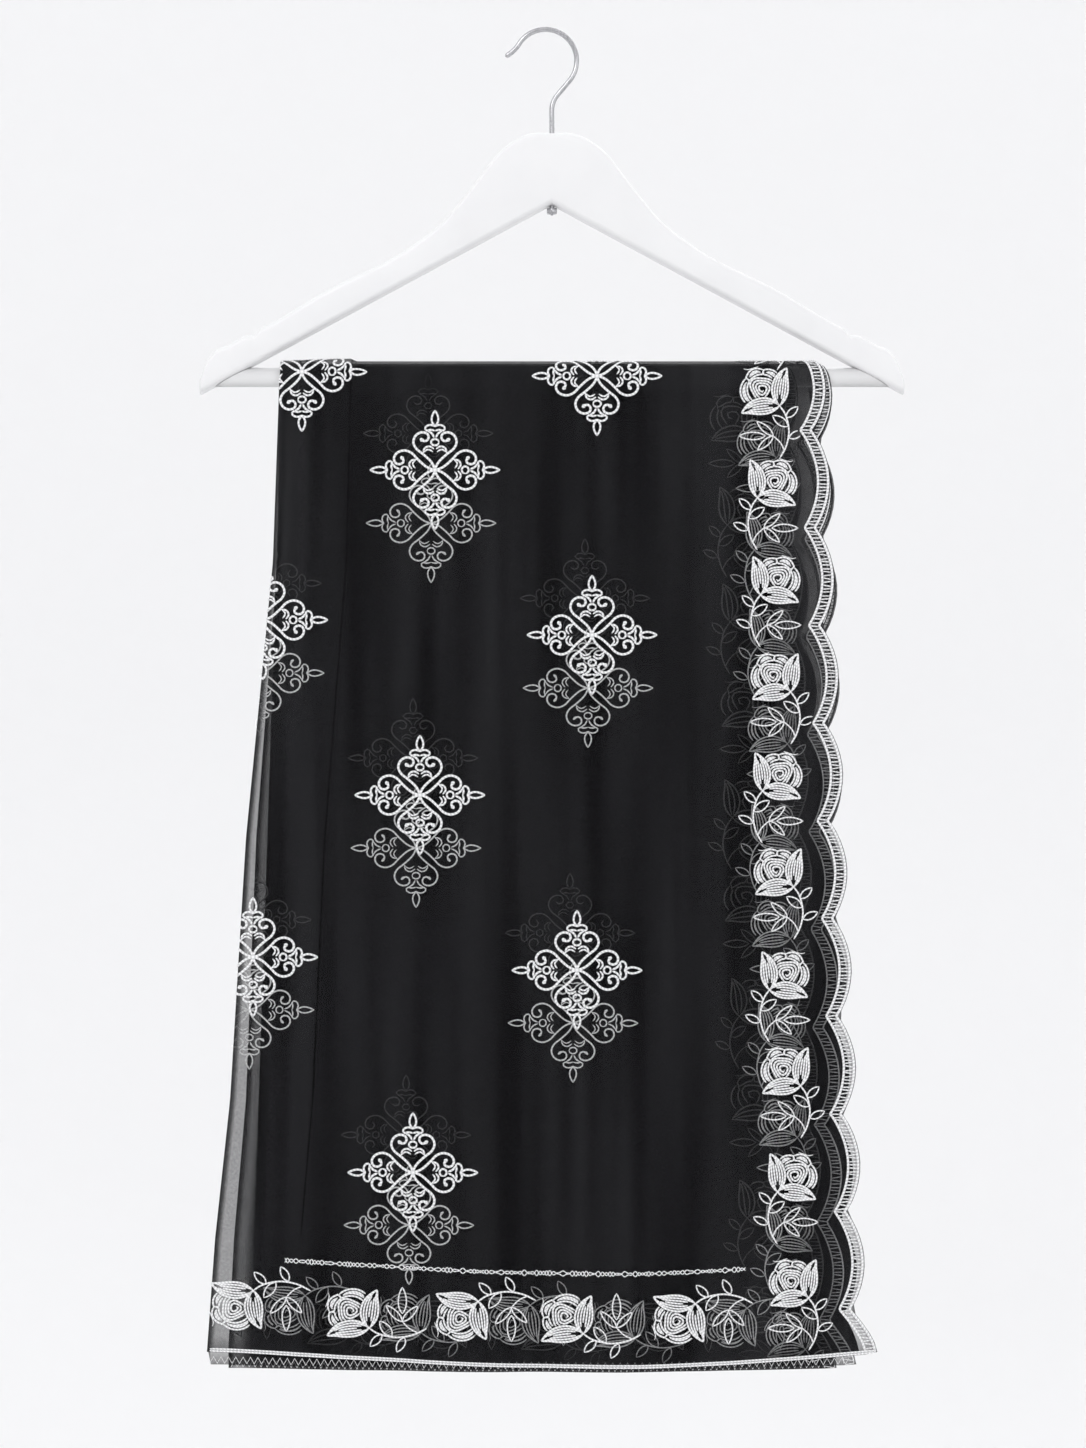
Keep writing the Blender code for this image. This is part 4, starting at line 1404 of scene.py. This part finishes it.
class STOLE_OT_hems(bpy.types.Operator):
    """Stitches the hems of the ends and the chain line above the end border"""

    bl_idname = "stole.hems"
    bl_label = "Hems and chain line"

    def execute(self, context):
        look = context.scene.stole_embroidery
        for layer, gap, pitch in ((L1, 0.0014, 0.0016), (L2, 0.0040, 0.0046), (L3, 0.0036, 0.0040)):
            embroider(look, layer.name + "_hem_stitches", layer, hem_threads(layer, look, gap, pitch))
        embroider(look, "outer_chain_line", L1, chain_threads(look))
        return {"FINISHED"}


# Stage


# The camera looks straight at the front. The view is this high at that distance.
CAMERA_PLACE = (-0.00155, -1.81, -0.431458)
CAMERA_REACH = 1.80
VIEW_HEIGHT = 0.89776
SENSOR = 36.0
SKY = (0.985, 0.986, 1.0)
SKY_STRENGTH = 1.12
# The lights' names, places, sizes in metres and powers in watts. All of them face one place.
LIGHTS = (
    ("key_light", (-1.3, -2.2, 1.2), 1.6, 20), ("fill_light", (1.8, -2.0, 0.2), 2.0, 8),
    ("back_light", (0.6, 2.6, 1.0), 2.0, 16),
)
LIT_PLACE = (0.0, 0.0, -0.45)
BOWL_FLOOR, BOWL_BEND, BOWL_WALL = 3.4, 1.4, 3.0


def bowl_mesh(look):
    """A round floor whose rim curves up into a wall: a profile turned about the vertical."""
    turn = np.linspace(0, math.pi / 2, 16)
    rim = BOWL_FLOOR + BOWL_BEND
    r = np.concatenate([[0.4, BOWL_FLOOR / 2], BOWL_FLOOR + BOWL_BEND * np.sin(turn), [rim]])
    z = np.concatenate([[0, 0], BOWL_BEND * (1 - np.cos(turn)), [BOWL_BEND + BOWL_WALL]]) + look.floor_z
    angle = 2 * math.pi * np.arange(96) / 96
    x = r[:, None] * np.cos(angle)
    y = r[:, None] * np.sin(angle)
    points = np.stack([x, y, np.broadcast_to(z[:, None], x.shape)], axis=-1)
    quads = grid_quads(len(r), 96, close_columns=True)[:, ::-1]
    return new_mesh("studio_bowl", points.reshape(-1, 3), np.concatenate([quads, ring_cap(0, 96)]))


def add_light(name, place, target, size, power):
    """A round area light that faces its target and isn't seen itself."""
    light = bpy.data.lights.new(name, "AREA")
    light.shape = "DISK"
    light.size = size
    light.energy = power
    lamp = bpy.data.objects.new(name, light)
    bpy.context.scene.collection.objects.link(lamp)
    away = np.array(place, float) - np.array(target, float)
    turn = math.atan2(away[0], -away[1])
    tilt = math.atan2(math.hypot(away[0], away[1]), away[2])
    lamp.location = place
    lamp.rotation_euler = (tilt, 0.0, turn)
    lamp.visible_camera = False


class STOLE_OT_stage(bpy.types.Operator):
    """Sets the pale floor and backdrop, the soft lights and the camera"""

    bl_idname = "stole.stage"
    bl_label = "Stage"

    def execute(self, context):
        look = context.scene.stole_stage
        scene = context.scene
        bowl = bpy.data.objects.new("studio_bowl", bowl_mesh(look))
        scene.collection.objects.link(bowl)
        n = Nodes("pale_backdrop")
        bowl.data.materials.append(n.finish(Base_Color=opaque(look.pale), Roughness=0.9))
        world = bpy.data.worlds.new("soft_room")
        world.use_nodes = True
        sky = world.node_tree.nodes["Background"]
        sky.inputs["Color"].default_value = opaque(SKY)
        sky.inputs["Strength"].default_value = SKY_STRENGTH
        scene.world = world
        for name, place, size, power in LIGHTS:
            add_light(name, place, LIT_PLACE, size, power)
        camera = bpy.data.objects.new("camera", bpy.data.cameras.new("camera"))
        scene.collection.objects.link(camera)
        camera.location = CAMERA_PLACE
        camera.rotation_euler = (math.radians(90), 0.0, 0.0)
        camera.data.sensor_width = SENSOR
        camera.data.lens = SENSOR * CAMERA_REACH / VIEW_HEIGHT
        scene.camera = camera
        scene.view_settings.view_transform = "Standard"
        return {"FINISHED"}


class STOLE_PT_panel(bpy.types.Panel):
    """Lists the steps of the build and what can be changed"""

    bl_idname = "STOLE_PT_panel"
    bl_label = "Dupatta"
    bl_space_type = "VIEW_3D"
    bl_region_type = "UI"
    bl_category = "Dupatta"

    def draw(self, context):
        for operator in OPERATORS:
            self.layout.operator(operator.bl_idname)
        for name, group in GROUPS.items():
            box = self.layout.box()
            for key in group.__annotations__:
                box.prop(getattr(context.scene, name), key)


OPERATORS = (STOLE_OT_hanger, STOLE_OT_cloth, STOLE_OT_field_motifs, STOLE_OT_border_roses,
             STOLE_OT_scallop_lace, STOLE_OT_hems, STOLE_OT_stage)
GROUPS = {"stole_hanger": HangerLook, "stole_cloth": ClothLook,
          "stole_embroidery": EmbroideryLook, "stole_stage": StageLook}


def register():
    """Registers the settings, the operators and the panel."""
    for group in (*GROUPS.values(), *OPERATORS, STOLE_PT_panel):
        bpy.utils.register_class(group)
    for name, group in GROUPS.items():
        setattr(bpy.types.Scene, name, PointerProperty(type=group))


def unregister():
    """Takes away what register added."""
    for name in GROUPS:
        delattr(bpy.types.Scene, name)
    for group in (STOLE_PT_panel, *OPERATORS[::-1], *GROUPS.values()):
        bpy.utils.unregister_class(group)


def main():
    """Builds everything."""
    register()
    bpy.ops.stole.hanger()
    bpy.ops.stole.cloth()
    bpy.ops.stole.field_motifs()
    bpy.ops.stole.border_roses()
    bpy.ops.stole.scallop_lace()
    bpy.ops.stole.hems()
    bpy.ops.stole.stage()


if __name__ == "__main__":
    main()
